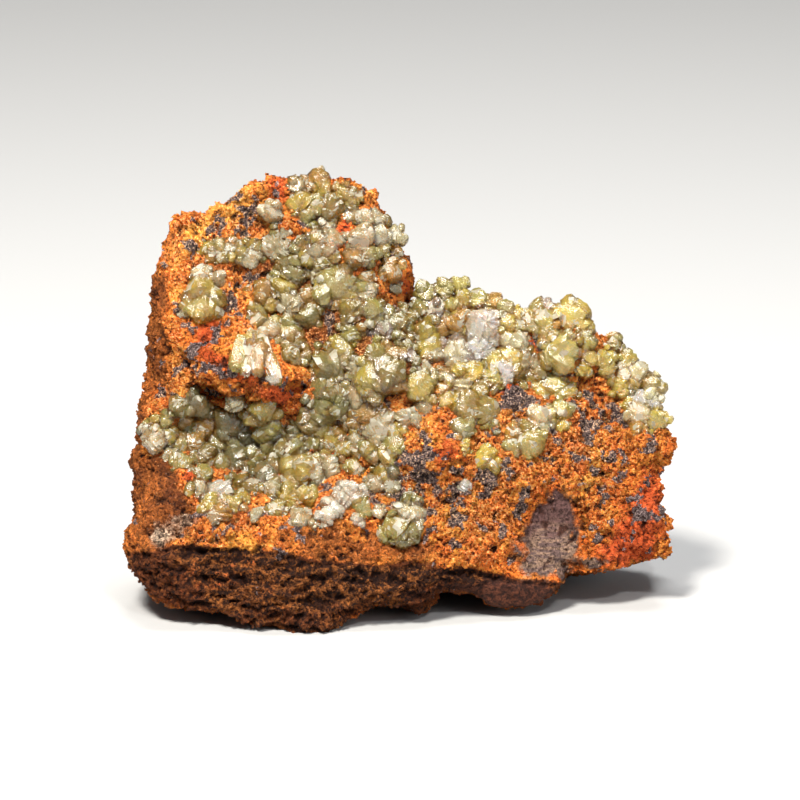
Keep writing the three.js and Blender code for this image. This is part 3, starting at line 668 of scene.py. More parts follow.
# A share is the weights of the zones and noises that it sums, and the sums where it starts and
# is full. A coat adds how strong it gets at most, and its paint. They go on in this order.
COATS = [
    ({"patch": 0.8, "nodule": 0.3, "crumb": 0.8}, 0.8, 1.15, 1, "bright"),
    ({"flank": 0.7, "broad": 0.9, "crumb": 0.6, "nodule": 0.2}, 0.95, 1.5, 0.85, "rusty"),
    # The foot's brown is partly its own colour and partly painted shade under the ledge.
    ({"flank": 0.3, "foot": 1.1, "broad": 1.7, "crumb": 1, "nodule": 0.3}, 1.55, 2.25, 1, "brown"),
    ({"foot": 0.6, "patch": 1, "grain": 0.6, "flat_break": -0.8}, 1.2, 1.5, 0.7, "tan"),
    ({"ochre": 0.8, "patch": 0.9, "crumb": 0.7, "nodule": 0.3}, 1.2, 1.55, 1, "ochre"),
    ({"red": 0.75, "broad": 0.9, "crumb": 0.7, "nodule": -0.2}, 0.9, 1.3, 1, "red"),
    ({"bleached": 1, "grain": 0.8}, 0.7, 1.2, 1, "bleached"),
    ({"streaked": 1, "crumb": 0.8, "grain": 0.4, "patch": 1.1}, 1.4, 1.85, 1, "smooth_rock"),
    # The flat break is painted dark, partly its own colour and partly painted shade on a face turned
    # down.
    ({"flat_break": 1, "lines": 0.5}, 0.6, 0.95, 0.9, "break"),
    # Painted shade on the rock between the crystals.
    ({"shaded": 0.8, "patch": 0.8}, 0.7, 1.25, 0.7, "brown"),
    ({"goethite": 0.8, "grain": 1.3, "crumb": 0.5}, 1.32, 1.56, 1, "warts"),
    # Painted shade in the hollows, and in the crevices between the crumb and grain bumps.
    ({"hollow": 1}, -0.05, 0.8, 0.93, "painted_crevice_shade"),
    ({"crumb": 1, "foot": -0.09}, 0.48, 0.31, 0.93, "painted_crevice_shade"),
    ({"grain": 1}, 0.45, 0.3, 0.85, "painted_crevice_shade"),
    # Painted highlight on the tops of grains and specks.
    (
        {"grain": 1, "speck": 0.8, "foot": -0.3, "flank": -0.15, "red": -0.2, "streaked": -0.25,
         "flat_break": -0.4}, 0.9, 1.16, 0.7, "painted_grain_highlight",
    ),
]
STREAK_LINES = ({"lines": 1}, 0.44, 0.56)
PLUM_SHARE = ({"plum": 0.8, "patch": 0.9, "crumb": 0.5}, 0.8, 1.5)
# Painted glints on the goethite warts, from the speck and grain noise.
WART_GLINTS = ({"speck": 1, "grain": 0.4}, 0.62, 0.9)
# Painted light and shade on the grains: tops up to 2.3 times brighter, gaps darker.
PAINTED_GRAIN_LIGHT_AND_SHADE = ({"grain": 1, "speck": 0.5}, 0.55, 0.95, 0.68, 2.3)
BUMPINESS = ({"streaked": 1, "flat_break": 1}, 0.2, 0.9, 1.0, 0.3)
BUMP_DEPTHS = {"crumb": 1.3, "grain": 0.8, "speck": 0.15}
ROCK_ROUGHNESS, WART_ROUGHNESS, ROCK_SHINE = 0.9, 0.55, 0.25


def limonite_finish():
    """Rust colours, painted shade and highlights, laid over each other from commonest to rarest."""
    n = Nodes("limonite_rust")
    source = {name: n.noise(*facts) for name, facts in RUST_NOISE.items()}
    source.update({name: n.attribute(name) for name in SHADER_ZONES})

    def share(weights, low, high, start=0.0, end=1.0):
        """The S curve of the weighted sum."""
        total = n.sum(*((weight, source[name]) for name, weight in weights.items()))
        return n.ramp(total, low, high, start, end)

    streaks = n.mix(share(*STREAK_LINES), RUST["streak_dark"], RUST["streaked"])
    paints = dict(RUST)
    paints["smooth_rock"] = n.mix(share(*PLUM_SHARE), streaks, RUST["plum"])
    paints["warts"] = n.mix(share(*WART_GLINTS), RUST["goethite"], RUST["painted_goethite_glint"])
    colour, shares = RUST["orange"], {}
    for weights, low, high, most, name in COATS:
        shares[name] = share(weights, low, high, 0.0, most)
        colour = n.mix(shares[name], colour, paints[name])
    # The colour is multiplied by the grains' painted light and shade.
    painted_grain_light = n.add("CombineColor", "Color", dict.fromkeys(("Red", "Green", "Blue"), share(*PAINTED_GRAIN_LIGHT_AND_SHADE)))
    colour = n.mix(1.0, colour, painted_grain_light, "MULTIPLY")
    n.put(colour, n.shader.inputs["Base Color"])
    roughness = n.ramp(shares["warts"], 0, 1, ROCK_ROUGHNESS, WART_ROUGHNESS)
    n.put(roughness, n.shader.inputs["Roughness"])
    n.shader.inputs["Specular IOR Level"].default_value = ROCK_SHINE
    bumpiness, relief = share(*BUMPINESS), None
    for name, depth in BUMP_DEPTHS.items():
        height = source[name]
        if name != "speck":
            height = n.maths("MULTIPLY", height, bumpiness)
        relief = n.bump(height, depth, relief)
    n.put(relief, n.shader.inputs["Normal"])
    return n.material


limonite_rust = limonite_finish()
block_mesh.materials.append(limonite_rust)
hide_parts("limonite_matrix")
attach(limonite, "root")
print("limonite finished")

# %% [markdown]
# ## Grains of rust
#
# Close up, the rust is a mass of sharp little crumbs, a third of a millimetre to a millimetre
# across, with dark gaps between them. Each is a small lump of eight faces, knocked out of shape
# and half sunk in the rock. Numpy places them all in one go and joins them in one mesh.

# %% Strew the grains
LUMP_CORNERS = np.array([[1, 0, 0], [-1, 0, 0], [0, 1, 0], [0, -1, 0], [0, 0, 1], [0, 0, -1]], float)
LUMP_FACES = np.array([
    [0, 2, 4], [2, 1, 4], [1, 3, 4], [3, 0, 4], [2, 0, 5], [1, 2, 5], [3, 1, 5], [0, 3, 5],
])
GRAINS_PER_PIECE = 24000
GRAIN_RADIUS = 0.27
GRAIN_SPREAD = 0.38
CORNER_REACH, SIDE_STRETCH = (0.6, 1.3), (0.9, 1.4)
TIP_HEIGHT, TIP_LEAN, GRAIN_SHIFT = 0.85, 0.4, 0.5
# Grains stick out, so they are less hollow than the rock they lie on and get less painted shade: by
# this, and at most.
GRAIN_RISE, GRAIN_HOLLOW = 0.2, 0.4
SMOOTH_BARE, BASE_BARE, ANYWHERE = 0.9, 0.7, 1e-9


def strew(name, share, seed):
    """Lumps at random points of the block, chosen with the given share at each point."""
    rng = np.random.default_rng(seed)
    chosen = rng.choice(len(moved), GRAINS_PER_PIECE, p=share / share.sum())
    count = len(chosen)

    def sideways(most):
        """A random part of most along each of the two ways across the normal."""
        steps = [rng.uniform(-most, most, (count, 1)) for _ in range(2)]
        return steps[0] * side + steps[1] * other

    radius = GRAIN_RADIUS * np.exp(GRAIN_SPREAD * rng.normal(size=count))
    normal = block_normals[chosen]
    corners = LUMP_CORNERS * rng.uniform(*CORNER_REACH, (count, 6, 1))
    side = np.cross(normal, rng.normal(size=normal.shape))
    side /= np.linalg.norm(side, axis=1, keepdims=True)
    other = np.cross(normal, side)
    tip = TIP_HEIGHT * normal + sideways(TIP_LEAN)
    axes = np.stack([side * rng.uniform(*SIDE_STRETCH, (count, 1)), other, tip], 1)
    lumps = np.einsum("nck,nkd->ncd", corners, axes) * radius[:, None, None]
    lumps += (moved[chosen] + sideways(GRAIN_SHIFT) * VOXEL)[:, None, :]
    faces = (np.arange(count)[:, None, None] * 6 + LUMP_FACES).reshape(-1, 3)
    mesh = new_mesh(name, in_box(lumps.reshape(-1, 3)) * MM, faces)
    each = {zone_name: zone[zone_name][chosen] for zone_name in SHADER_ZONES}
    each["nodule"] = rng.random(count)
    each["hollow"] = np.minimum(each["hollow"] - GRAIN_RISE, GRAIN_HOLLOW)
    for zone_name, values in each.items():
        keep_attribute(mesh, zone_name, np.repeat(values, 6))
    grains = place_in_scene(name, mesh)
    mesh.materials.append(limonite_rust)
    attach(grains, "root")
    print(name, count, "grains,", len(mesh.polygons), "triangles")


rough_share = 1 - SMOOTH_BARE * np.clip(zone["streaked"] + zone["flat_break"], 0, 1)
rough_share = rough_share * (moved[:, 2] > BASE_BARE)
front_share = rough_share * facing_front * (0.5 + np.minimum(zone["grainy"], 1))
strew("limonite_grains_front", front_share, 31)
strew("limonite_grains_sides", rough_share * (1 - facing_front) + ANYWHERE, 32)

# %% [markdown]
# ## Crystals
#
# Adamite grows here as little sheaves: wedge-shaped blades that fan out from one root like the
# pages of an open book. Where they are packed close, their ends make a domed, pleated shell
# with a notched rim, as on a scallop. A shell could be sculpted, but hundreds of them are
# needed. So a shell is a formula: a slightly boxy ball whose pleats run from pole to pole, cut
# by many flat faces. The few widest blades are shells too, boxier and drawn out long.

# %% Draw pleated shells
PLEAT, CRINKLE = 0.085, 0.038
PLEAT_STRENGTHS = (0.3, 1.7)
FLAT_FACES = 17
FACE_HEIGHT, FACE_PUSH, FACE_REACH = (0.74, 1.03), 0.7, 0.05
BOXINESS = 2.7
GRIDS = {"large": (28, 11), "middle": (16, 6), "small": (10, 4)}


def unit(vectors):
    """Vectors at a length of one."""
    return vectors / np.linalg.norm(vectors, axis=-1, keepdims=True)


def grid_faces(meridians, rings):
    """Triangles of a ball's grid: two to each square, and a cap at each pole."""
    ring, step = np.meshgrid(np.arange(rings - 1), np.arange(meridians), indexing="ij")
    a, b = ring * meridians + step, ring * meridians + (step + 1) % meridians
    squares = np.stack([a, a + meridians, b + meridians, a, b + meridians, b], -1).reshape(-1, 3)
    step = np.arange(meridians)
    after, top, bottom = (step + 1) % meridians, rings * meridians, rings * meridians + 1
    last = (rings - 1) * meridians
    first_cap = np.stack([step * 0 + top, step, after], 1)
    last_cap = np.stack([last + after, last + step, step * 0 + bottom], 1)
    return np.concatenate([squares, first_cap, last_cap])


def turned(poles, rng):
    """Axes (side, other, pole) of each pole, turned about it at random."""
    side = unit(np.cross(poles, rng.normal(size=poles.shape)))
    return np.stack([side, np.cross(poles, side), poles], 1)


def shells(centres, axes, scales, grid, rng, pleat=PLEAT, boxiness=BOXINESS):
    """Reach = box ball (1 + pleat (-1)^step sin(angle from pole)) + crinkle, at most h / (way . n).

    The box ball's reach is 1 / (sum of |way|^p)^(1/p): a ball at p = 2, and boxier above.
    """
    meridians, rings = GRIDS[grid]
    count = len(centres)
    down = np.pi * np.arange(1, rings + 1) / (rings + 1)
    turn = 2 * np.pi * np.arange(meridians) / meridians
    down, turn = (a.ravel() for a in np.meshgrid(down, turn, indexing="ij"))
    ways = np.stack([np.sin(down) * np.cos(turn), np.sin(down) * np.sin(turn), np.cos(down)], 1)
    ways = np.concatenate([ways, [[0, 0, 1], [0, 0, -1]]])
    step_sign = np.append(np.tile((-1.0) ** np.arange(meridians), rings), [0, 0])
    strength = np.tile(rng.uniform(*PLEAT_STRENGTHS, (count, meridians)), (1, rings))
    strength = np.concatenate([strength, np.zeros((count, 2))], 1)
    box_ball = (np.abs(ways) ** boxiness).sum(1) ** (-1 / boxiness)
    reach = box_ball * (1 + pleat * step_sign * strength * np.append(np.sin(down), [0, 0]))
    reach = reach + CRINKLE * rng.normal(size=reach.shape)
    cuts = unit(rng.normal(size=(count, FLAT_FACES, 3)))
    height = rng.uniform(*FACE_HEIGHT, (count, FLAT_FACES, 1))
    height = height * (boxiness / BOXINESS) ** FACE_PUSH
    along = np.einsum("nkd,vd->nkv", cuts, ways)
    cut = np.where(along > FACE_REACH, height / np.maximum(along, FACE_REACH), FAR)
    reach = np.minimum(reach, cut.min(1))
    local = reach[..., None] * ways * scales[:, None]
    placed = centres[:, None] + np.einsum("nvk,nkd->nvd", local, axes)
    return [(corners, SHELL_FACES[grid]) for corners in placed]


SHELL_FACES = {grid: grid_faces(*counts) for grid, counts in GRIDS.items()}
print("triangles:", {grid: len(faces) for grid, faces in SHELL_FACES.items()})

# %% [markdown]
# ## Seats on the rock
#
# A crystal is rooted in the rock. Its height could be set by hand, but any change of the rock
# would spoil it. So it is felt for: a ray from in front says how far out the rock stands, and
# four more around it say which way the rock faces.

# %% Feel for the rock from the front
block_tree = BVHTree.FromPolygons(
    moved.tolist(), [list(p.vertices) for p in block_mesh.polygons], all_triangles=False
)
HEART = np.array([-5.6, 40.7])
FEEL, STEEPEST, TOWARDS_FRONT = 0.9, 2.5, 0.6
TRIES, NEARER = 60, 0.02
START_W = 60.0


def ray_depth(tree, u, v):
    """How far out a tree of faces stands at (u, v), or None beside it: a ray from in front."""
    hit = tree.ray_cast(Vector(from_show((u, v, START_W))), Vector(-TOWARDS_VIEWER))
    return None if hit[0] is None else START_W - hit[3]


def seat(u, v):
    """The place on the rock nearest the heart's side of (u, v), and the way it faces there."""
    place = np.array([u, v], float)
    for _ in range(TRIES):
        around = [
            ray_depth(block_tree, place[0] + du, place[1] + dv)
            for du, dv in ((0, 0), (FEEL, 0), (-FEEL, 0), (0, FEEL), (0, -FEEL))
        ]
        if None not in around:
            break
        place += (HEART - place) * NEARER
    middle, right, left, up, down = around
    slope = np.append(np.clip([left - right, down - up], -STEEPEST, STEEPEST), 2 * FEEL)
    slope /= np.linalg.norm(slope)
    slope[2] += TOWARDS_FRONT
    return np.array([*place, middle]), slope / np.linalg.norm(slope)


print("rock at the heart:", round(ray_depth(block_tree, *HEART), 2))

# %% [markdown]
# ## Where the crystals grow
#
# The crystals fill the hollow, the tower's face and the ridge. They could be strewn at random,
# but the photo shows where the large ones are, so each is given its place. A row is one sheaf: u,
# v and radius in tenths of a millimetre, and a letter for its tint. The few blades that show
# one by one have a root, a tip and a width.

# %% List the sheaves
# Tints: p pale green, y yellow-green, o olive, g grey-green, w cream white, h honey,
# d dark grey-green, l lilac grey, c cream.
SHEAVES = {
    "main_crust": """
    -349 697 16y, -332 703 13p, -312 700 17w, -292 693 14p, -272 707 14y, -275 683 16w,
    -326 683 12o, -252 685 16p, -233 720 15w, -209 729 12w, -231 700 21w, -213 702 16w,
    -161 744 12p, -134 740 12w, -151 720 16p, -124 717 18w, -127 700 14w, -151 693 18w,
    -137 676 17p, -164 683 17y, -178 710 14o, -186 680 16p, -212 674 15o, -191 653 17g,
    -211 629 21y, -198 596 21w, -238 619 17p, -252 616 21h, -241 596 16y, -258 582 17y,
    -231 643 13y, -221 656 14p, -117 636 30p, -144 656 18w, -97 616 19y, -164 609 19h, -151 596 15h,
    -90 582 21o, -63 609 17w, -70 629 16p, -56 589 18p, -46 576 14p, -63 646 14h, -56 626 13w,
    -164 576 20g, -204 549 21p, -191 528 16o, -228 562 16p, -238 549 17w, -221 528 18g,
    -198 508 17o, -258 565 16o, -124 608 15h, -130 475 32g, -107 515 22y, -90 542 17p, -119 446 20g,
    -103 492 19o, -50 468 30y, -26 475 28o, -16 502 19h, -43 434 18o, -70 481 19w, -81 434 17w,
    -46 504 18p, -9 450 17h, -36 576 20g, -16 565 20g, -26 555 16l, -43 549 17l, -26 579 18p,
    -3 562 17p, -30 549 18l, -9 539 14g, 11 549 17g, 21 576 14g, 4 582 13g, 12 516 15g, 41 589 18g,
    51 619 17g, 81 626 18g, 108 633 14p, 68 592 18l, 92 596 17p, 115 609 16y, 139 609 17p,
    155 596 16y, 176 602 13h, 192 589 14g, 213 579 13y, 233 576 14y, 253 589 16g, 270 592 14l,
    38 542 14h, 48 522 24y, 18 502 14l, 78 555 17h, 102 562 17h, 118 576 16h, 152 559 27c,
    149 522 25c, 105 535 16l, 81 522 16l, 65 502 16w, 95 498 23w, 118 502 17l, 44 475 17w,
    31 448 23y, 58 461 14o, 86 461 16w, 75 441 14h, 192 475 21c, 166 461 18p, 132 468 20y,
    118 448 20w, 145 441 21o, 135 421 18y, 213 522 24w, 206 502 20y, 226 495 17w, 213 475 24o,
    236 461 17y, 44 414 15w, 88 421 17y, 122 407 24o, 159 401 24g, 112 367 18g, 115 340 14y,
    196 562 17y, 213 555 16p, 239 562 17o, 172 569 14h, 56 564 16o, 124 552 15y, 174 496 16y,
    106 476 16y, 266 562 21p, 310 569 29y, 327 582 20y, 317 602 8w, 293 515 29p, 273 502 17y,
    253 475 17o, 280 448 21p, 260 441 16y, 307 438 15y, 246 488 16w, 340 528 16p, 347 502 14y,
    334 481 13y, 279 536 16y""",
    "hollow_crust": """
    -453 360 16w, -457 374 14p, -447 347 17w, -430 387 16p, -400 414 18g, -369 417 24d,
    -393 380 21g, -359 374 21h, -383 340 24h, -406 340 17p, -420 320 14w, -359 320 21o,
    -396 306 18p, -312 380 24d, -305 347 20g, -299 313 24d, -278 360 17d, -268 327 17g,
    -326 306 17g, -238 340 21g, -225 360 20d, -211 327 23g, -191 360 20d, -191 327 21g,
    -228 306 18o, -245 286 20d, -231 259 18g, -178 293 28y, -151 286 20w, -130 293 20w,
    -171 246 18y, -204 239 21y, -225 226 17p, -178 208 18w, -164 201 13w, -332 259 18c,
    -366 259 17w, -346 232 18y, -326 219 17h, -305 232 16y, -272 263 16o, -285 246 14y,
    -258 216 13w, -336 212 13w, -426 356 17p, -334 346 18g, -360 288 16p, -262 302 17g,
    -294 274 15o, -198 270 18y, -144 414 31g, -164 380 21o, -137 367 21y, -110 380 14l,
    -100 394 12w, -124 340 18y, -56 401 25h, -33 367 25w, -77 347 18w, -56 327 17p, -43 320 14h,
    11 387 19w, -13 340 18p, -97 333 17y, -83 300 14p, -23 320 18y, -30 286 18y, -43 273 16w,
    -16 269 13w, -80 382 18h, -109 416 18g, -156 338 18g, -6 366 17y, -106 360 16h""",
    "summit_crystals": """
    -188 812 16w, -174 784 21y, -151 824 20h, -141 808 20y, -124 777 21o, -107 802 16y, -89 795 14y,
    -151 777 18p, -168 764 13p""",
    "shoulder_crystals": """
    -87 760 16w, -63 754 16w, -48 757 14w, -73 717 23w, -43 723 20w, -11 725 18w, -80 683 17h,
    -56 690 17p, -33 700 12y""",
    "tower_edge_crystals": "-15 659 20h, -11 629 13w",
    "upper_lone_crystal": "-233 769 18w",
    "nose_block": "-295 421 16w, -252 407 24y, -238 377 24p, -272 394 15y",
    "left_fan": "-362 589 30y, -360 620 27y, -364 652 16w, -337 642 15w, -394 579 9w",
    "nose_sheaf": "-256 534 11p, -262 506 19h",
    "white_fan": """
    -132 214 15c, -119 228 17c, -105 243 18c, -89 254 18c, -72 254 15c, -75 226 22p, -78 206 12c,
    -136 202 10c""",
    "lower_cluster": """
    17 239 17g, -7 191 24p, 17 215 20w, 23 188 17g, 37 201 8w, -38 220 11w, 4 172 12g""",
    "lower_sheaf": """
    294 402 19p, 252 389 21w, 272 394 15y, 208 363 16h, 236 343 23p, 208 336 15g, 298 376 10y,
    197 358 8w, 230 370 15o""",
    "lower_lone_crystal": "157 315 21y",
    "tiny_crystal": "118 269 10c",
    "right_edge_crust": """
    394 526 13g, 377 498 17y, 381 481 13y, 414 491 18p, 435 473 17w, 411 468 17w, 404 448 16y,
    428 458 14y, 451 461 14o, 462 452 16o, 470 469 6w, 474 431 8y, 458 438 14w""",
    "right_end_fan": "452 416 23c, 437 398 19w, 463 386 22y, 433 370 14h, 477 425 9w, 419 412 11y",
}
# Blades, as [root u, root v, tip u, tip v, width, tint].
BLADES = {
    "nose_sheaf": [
        [-28.1, 53.8, -29.5, 47.8, 3.8, "y"], [-26.9, 54.9, -28.0, 47.0, 2.5, "c"],
        [-25.9, 51.8, -25.9, 46.8, 2.6, "h"], [-25.2, 53.6, -22.9, 45.4, 2.9, "c"],
        [-23.8, 51.0, -22.0, 45.2, 2.4, "y"],
    ],
}
BLADE_THICKNESS, BLADE_RISE = 2.6, 1.3
BLADE_PLEAT, BLADE_BOXINESS = 0.02, 5.0
BLADE_PARTS = (0.1, 0.37, 0.63, 0.9)


def sheaf_rows(text):
    """The rows of a name, each as ([u, v, radius] in millimetres, tint)."""
    rows = [row.split() for row in text.split(",")]
    return [([int(u) / 10, int(v) / 10, int(size[:-1]) / 10], size[-1]) for u, v, size in rows]


print(sum(len(sheaf_rows(text)) for text in SHEAVES.values()), "sheaves")

# %% [markdown]
# ## Sheaves, blades and ground
#
# Around each sheaf lean and sprout smaller ones, and tiny ones cover the rock between. They
# could be placed by hand, but the photo doesn't show them one by one. So each large shell
# brings companions and sprigs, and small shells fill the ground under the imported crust, at
# random from fixed seeds.

# %% Grow a sheaf
SWELL = 1.31
SINK = 0.1
# Companions and sprigs of each shell: how many, how far away and how large, in radii.
COMPANIONS = (2, (0.5, 0.8), (0.5, 0.75), "middle")
SPRIGS = (2, (0.8, 1.05), (0.25, 0.45), "small")
FLATNESS = (0.65, 0.95)
LIFT = 0.15
TIP_DROP, BLADE_ROOT = 1.0, 0.4


def squashed(radii, rng):
    """Radii along the two axes across the pole, and a shorter one along it."""
    return radii[:, None] * np.array([[1, 1, f] for f in rng.uniform(*FLATNESS, len(radii))])


def sheaf(row, rng):
    """A large pleated shell, companions that lean on it and small sprigs around its foot."""
    u, v, radius = row
    place, facing = seat(u, v)
    radius = radius * SWELL
    centre = np.array([u, v, place[2] - SINK * radius])
    poles = unit(rng.normal(size=(1, 3)))
    made = shells(centre[None], turned(poles, rng), squashed(np.array([radius]), rng), "large", rng)
    for count, distance, size, grid in (COMPANIONS, SPRIGS):
        way = unit(np.cross(facing, rng.normal(size=(count, 3))) + LIFT * facing)
        away = rng.uniform(*distance, (count, 1)) * radius
        poles = unit(rng.normal(size=(count, 3)))
        sizes = squashed(rng.uniform(*size, count) * radius, rng)
        made += shells(centre + way * away, turned(poles, rng), sizes, grid, rng)
    return made, centre, radius, facing


def seated_blade(row, tint, rng):
    """A shell stretched from root to tip, as parts that share one tint."""
    root_u, root_v, tip_u, tip_v, width = row
    root_place, facing = seat(root_u, root_v)
    tip_place, _ = seat(tip_u, tip_v)
    root = np.array([root_u, root_v, root_place[2] + 0.5 * BLADE_RISE])
    tip = np.array([tip_u, tip_v, max(tip_place[2], root_place[2] - TIP_DROP) + BLADE_RISE])
    pole = unit(tip - root)
    side = unit(np.cross([0, 0, 1.0], pole))
    axes = np.stack([side, np.cross(pole, side), pole])
    scales = np.array([width, BLADE_THICKNESS, np.linalg.norm(tip - root)]) / 2
    facts = (root + tip)[None] / 2, axes[None], scales[None]
    made = shells(*facts, "middle", rng, BLADE_PLEAT, BLADE_BOXINESS)
    lower = np.array([0, 0, BLADE_ROOT * width])
    parts = [(root + share * (tip - root) - lower, 0.5 * width, facing, tint) for share in BLADE_PARTS]
    return [(made if part is parts[0] else [], *part) for part in parts]


GROUND_STEP = 1.9
GROUND_RADIUS = (0.95, 1.6)
GROUND_COVER = 0.3
GROUND_TINTS = "ooghdyp"


def ground_shells(node_name, rng):
    """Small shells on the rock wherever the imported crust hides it, one to each grid square."""
    points, triangles = merged_arrays(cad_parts[node_name].data)
    tree = BVHTree.FromPolygons((points / MM).tolist(), triangles.tolist(), all_triangles=True)
    low, high = to_show(points / MM).min(0), to_show(points / MM).max(0)
    places = []
    for u in np.arange(low[0], high[0], GROUND_STEP):
        for v in np.arange(low[1], high[1], GROUND_STEP):
            here = np.array([u, v]) + rng.uniform(-0.5, 0.5, 2) * GROUND_STEP
            crust, rock = ray_depth(tree, *here), ray_depth(block_tree, *here)
            if crust is not None and rock is not None and crust > rock + GROUND_COVER:
                places.append([*here, rock])
    count = len(places)
    radii = rng.uniform(*GROUND_RADIUS, count)
    poles = unit(rng.normal(size=(count, 3)))
    made = shells(np.array(places), turned(poles, rng), squashed(radii, rng), "small", rng)
    tints = rng.choice(list(GROUND_TINTS), count)
    facing = np.array([0, 0, 1.0])
    return [([made[i]], np.array(places[i]), radii[i], facing, tints[i]) for i in range(count)]


trial = sheaf([0, 50, 2], np.random.default_rng(1))
print("a sheaf has", len(trial[0]), "solids")

# %% [markdown]
# ## One solid for each crust
#
# Shells that cross each other would leave faces inside the crystal, where clear stone shows
# them. So all the shells of a crust are joined into one closed skin by a Boolean union, with
# the solver that takes many solids at once.

# %% Join the shells
def joined(solids, name):
    """The union of many closed solids, as one mesh."""
    group = bpy.data.collections.new("shells_to_join")
    scene.collection.children.link(group)
    made = []
    for corners, faces in solids:
        mesh = new_mesh("shell", from_show(corners) * MM, faces)
        made.append(bpy.data.objects.new("shell", mesh))
        group.objects.link(made[-1])
    group.objects.unlink(made[0])
    scene.collection.objects.link(made[0])
    union = made[0].modifiers.new("union", "BOOLEAN")
    union.operation = "UNION"
    union.solver = "MANIFOLD"
    union.operand_type = "COLLECTION"
    union.collection = group
    result = with_modifiers(made[0])
    result.name = name
    used = [o.data for o in made]
    for shell_object in made:
        bpy.data.objects.remove(shell_object)
    for mesh in used:
        bpy.data.meshes.remove(mesh)
    bpy.data.collections.remove(group)
    return result


# %% [markdown]
# ## Tints of the facets
#
# Each sheaf has its own tint, from cream to olive. Its root is brown, partly from rust stain and
# partly painted shade, and painted shade darkens the creases between sheaves. Noise in the shader
# can't follow the sheaves, so each face gets its colour from the nearest sheaf. Some patches of
# faces are frosted, and more so on faces turned up to the lamps, as painted highlight.

# %% Tint the facets
TINTS = {
    "p": (0.52, 0.455, 0.11), "y": (0.64, 0.50, 0.085), "o": (0.36, 0.27, 0.05),
    "g": (0.39, 0.345, 0.10), "w": (0.71, 0.62, 0.34), "c": (1.0, 0.95, 0.76),
    "h": (0.54, 0.31, 0.055), "d": (0.27, 0.255, 0.11), "l": (0.36, 0.30, 0.25),
}
# Brown at the roots: partly rust stain, partly painted shade where the shells meet the rock.
ROOT_STAIN_AND_SHADE = (0.13, 0.062, 0.014)
PALER_RIGHT = 0.42
FROST_BIAS = {
    "p": 0.1, "y": 0.0, "o": -0.15, "g": 0.05, "w": 0.5, "c": 0.3, "h": -0.1, "d": 0.0, "l": 0.1,
}
# Where painted shade darkens the creases between sheaves, and where the colour changes from root to
# tip.
CREASE_WIDTH, CREASE_RISE, CREASE_DEPTH, TIP_RISE = (0.3, 0.0), (1.1, 0.3), 0.85, (-0.35, 0.55)
FACET_STEPS, FACET_SEED, FACET_SHADES = 5, 77, (0.8, 0.4)
PALER_ACROSS = (0, 18)
FROST_NOISE, FROST_EDGE = (1.8, 91, 2), (0.42, 0.6)


def tint_facets(mesh, grown):
    """Each face takes its sheaf's tint, brown at the root from stain and painted shade, darker in
    creases from painted shade, and patches of faces are frosted, more where they face up as painted
    highlight.
    """
    count = len(mesh.polygons)
    middle = to_show(read(mesh.polygons, "center", 3).astype(float) / MM)
    normal = read(mesh.polygons, "normal", 3).astype(float)
    best, next_best = np.full(count, FAR), np.full(count, FAR)
    owner = np.zeros(count, int)
    for index, (_, centre, radius, _, _) in enumerate(grown):
        away = np.linalg.norm(middle - centre, axis=1) / radius
        owner = np.where(away < best, index, owner)
        next_best = np.minimum(next_best, np.maximum(best, away))
        best = np.minimum(best, away)
    centres, radii, facings = (np.array([g[i] for g in grown])[owner] for i in (1, 2, 3))
    tints = [g[4] for g in grown]
    rise = ((middle - centres) * facings).sum(1) / radii
    colours = np.array([TINTS[t] for t in tints])[owner]
    painted_crease_shade = soft_step(*CREASE_WIDTH, next_best - best) * soft_step(*CREASE_RISE, rise)
    towards_tip = (soft_step(*TIP_RISE, rise) * (1 - CREASE_DEPTH * painted_crease_shade))[:, None]
    colours = np.array(ROOT_STAIN_AND_SHADE) * (1 - towards_tip) + colours * towards_tip
    facet = (normal * FACET_STEPS).round().astype(np.int64) + owner[:, None] * 13
    chance = scatter[table_index(facet, FACET_SEED)]
    paler = 1 + PALER_RIGHT * soft_step(*PALER_ACROSS, middle[:, 0])
    colours = colours * (FACET_SHADES[0] + FACET_SHADES[1] * chance[:, :1]) * paler[:, None]
    patch = layered_noise(middle, *FROST_NOISE) + 0.8 * (chance[:, 1] - 0.5)
    # Faces turned up to the lamps get more frost: painted highlight.
    patch = patch + 0.3 * (normal[:, 2] - 0.4)
    bias = np.array([FROST_BIAS[t] for t in tints])[owner]
    frost_and_highlight = soft_step(*FROST_EDGE, patch + 0.5 * bias)
    frost_and_highlight = frost_and_highlight * towards_tip[:, 0]
    sides = read(mesh.polygons, "loop_total", 1, np.int32)[:, 0]
    with_alpha = np.concatenate([np.clip(colours, 0, 1), np.ones((count, 1))], 1)
    tint = mesh.color_attributes.new("tint", "FLOAT_COLOR", "CORNER")
    tint.data.foreach_set("color", np.repeat(with_alpha, sides, axis=0).astype(np.float32).ravel())
    frosted = mesh.attributes.new("frost_and_highlight", "FLOAT", "CORNER")
    frosted.data.foreach_set("value", np.repeat(frost_and_highlight, sides).astype(np.float32))


# %% [markdown]
# ## Adamite, the finish
#
# Adamite is a clear, glassy zinc mineral with a high index of 1.73, so it flashes brightly.
# These crystals are a little cloudy: light gets in, turns yellow-green and comes out again.
# That is transmission with some colour of its own, and a yellow absorption inside.

# %% Mix the adamite
CREAM = (0.80, 0.74, 0.52)
HONEY = (0.50, 0.27, 0.05)
ADAMITE_IOR, CLEARNESS = 1.73, 0.74
INNER_COLOUR, INNER_DENSITY = (0.86, 0.80, 0.36, 1), 210
CLOUDS, SPECKS, RIPPLES, RIPPLE_DEPTH = (2.4, 3), (0.28, 3), (0.3, 4, 0.65), 0.11
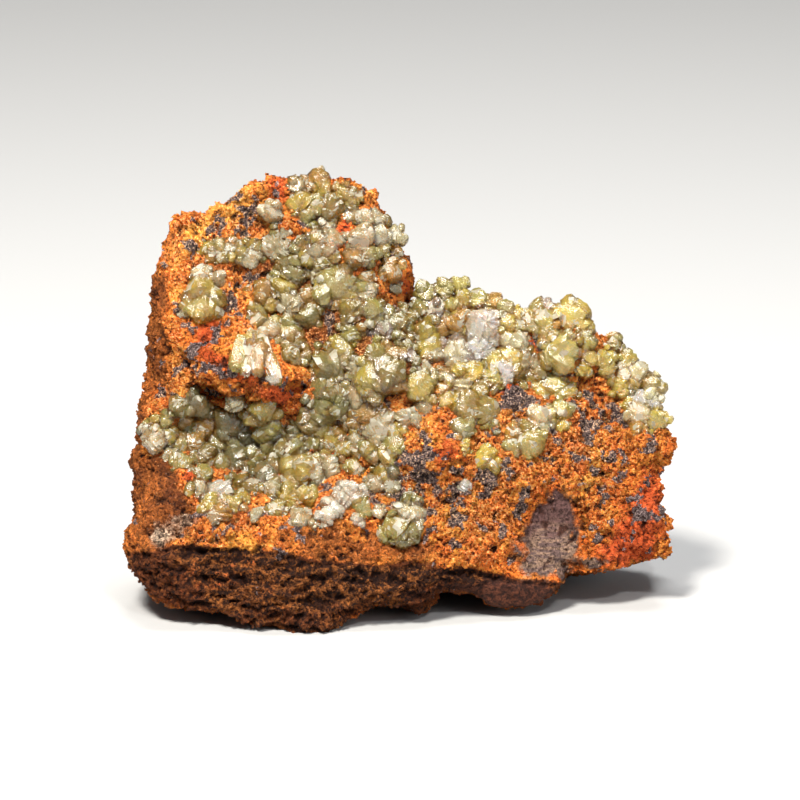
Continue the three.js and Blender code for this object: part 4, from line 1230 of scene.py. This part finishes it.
# Where a cloud, a cream speck and a frosted patch with its painted highlight start and end, and how
# strong they get.
CLOUD_SHARE, SPECK_SHARE, FROST_SHARE = (0.46, 0.7, 0.0, 0.6), (0.58, 0.72, 0.0, 0.3), (0.45, 1.2)
GLASSY, FROSTY = 0.16, 0.4


def adamite_finish():
    """Clear yellow-green stone with honey clouds, frosted patches that carry painted highlight, and
    fine growth ripples.
    """
    n = Nodes("adamite_crystal")
    speck = n.noise(*SPECKS)
    colour = n.mix(n.ramp(n.noise(*CLOUDS), *CLOUD_SHARE), n.attribute("tint", "Color"), HONEY)
    colour = n.mix(n.ramp(speck, *SPECK_SHARE), colour, CREAM)
    whiteness = n.ramp(n.sum((1, n.attribute("frost_and_highlight")), (0.8, speck)), *FROST_SHARE)
    colour = n.mix(whiteness, colour, CREAM)
    n.put(colour, n.shader.inputs["Base Color"])
    n.put(n.ramp(whiteness, 0.0, 1.0, GLASSY, FROSTY), n.shader.inputs["Roughness"])
    n.shader.inputs["IOR"].default_value = ADAMITE_IOR
    n.shader.inputs["Transmission Weight"].default_value = CLEARNESS
    n.put(n.bump(n.noise(*RIPPLES), RIPPLE_DEPTH), n.shader.inputs["Normal"])
    inside = {"Color": INNER_COLOUR, "Density": INNER_DENSITY}
    n.put(n.add("VolumeAbsorption", "Volume", inside), n.out.inputs["Volume"])
    return n.material


adamite = adamite_finish()
print("adamite mixed")

# %% Grow every cluster
CRUSTS = ("main_crust", "hollow_crust", "right_edge_crust", "shoulder_crystals", "summit_crystals")
for seed, name in enumerate(sorted(SHEAVES)):
    rng = np.random.default_rng(100 + seed)
    grown = [(*sheaf(row, rng), tint) for row, tint in sheaf_rows(SHEAVES[name])]
    for row in BLADES.get(name, []):
        grown += seated_blade(row[:5], row[5], rng)
    if name in CRUSTS:
        grown += ground_shells(name, rng)
    mesh = joined([solid for facts in grown for solid in facts[0]], name)
    tint_facets(mesh, grown)
    mesh.materials.clear()
    mesh.materials.append(adamite)
    crystals = place_in_scene(name + "_blades", mesh)
    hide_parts(name)
    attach(crystals, "root")
    mesh.calc_loop_triangles()
    print(crystals.name, len(grown), "sheaves,", len(mesh.loop_triangles), "triangles")
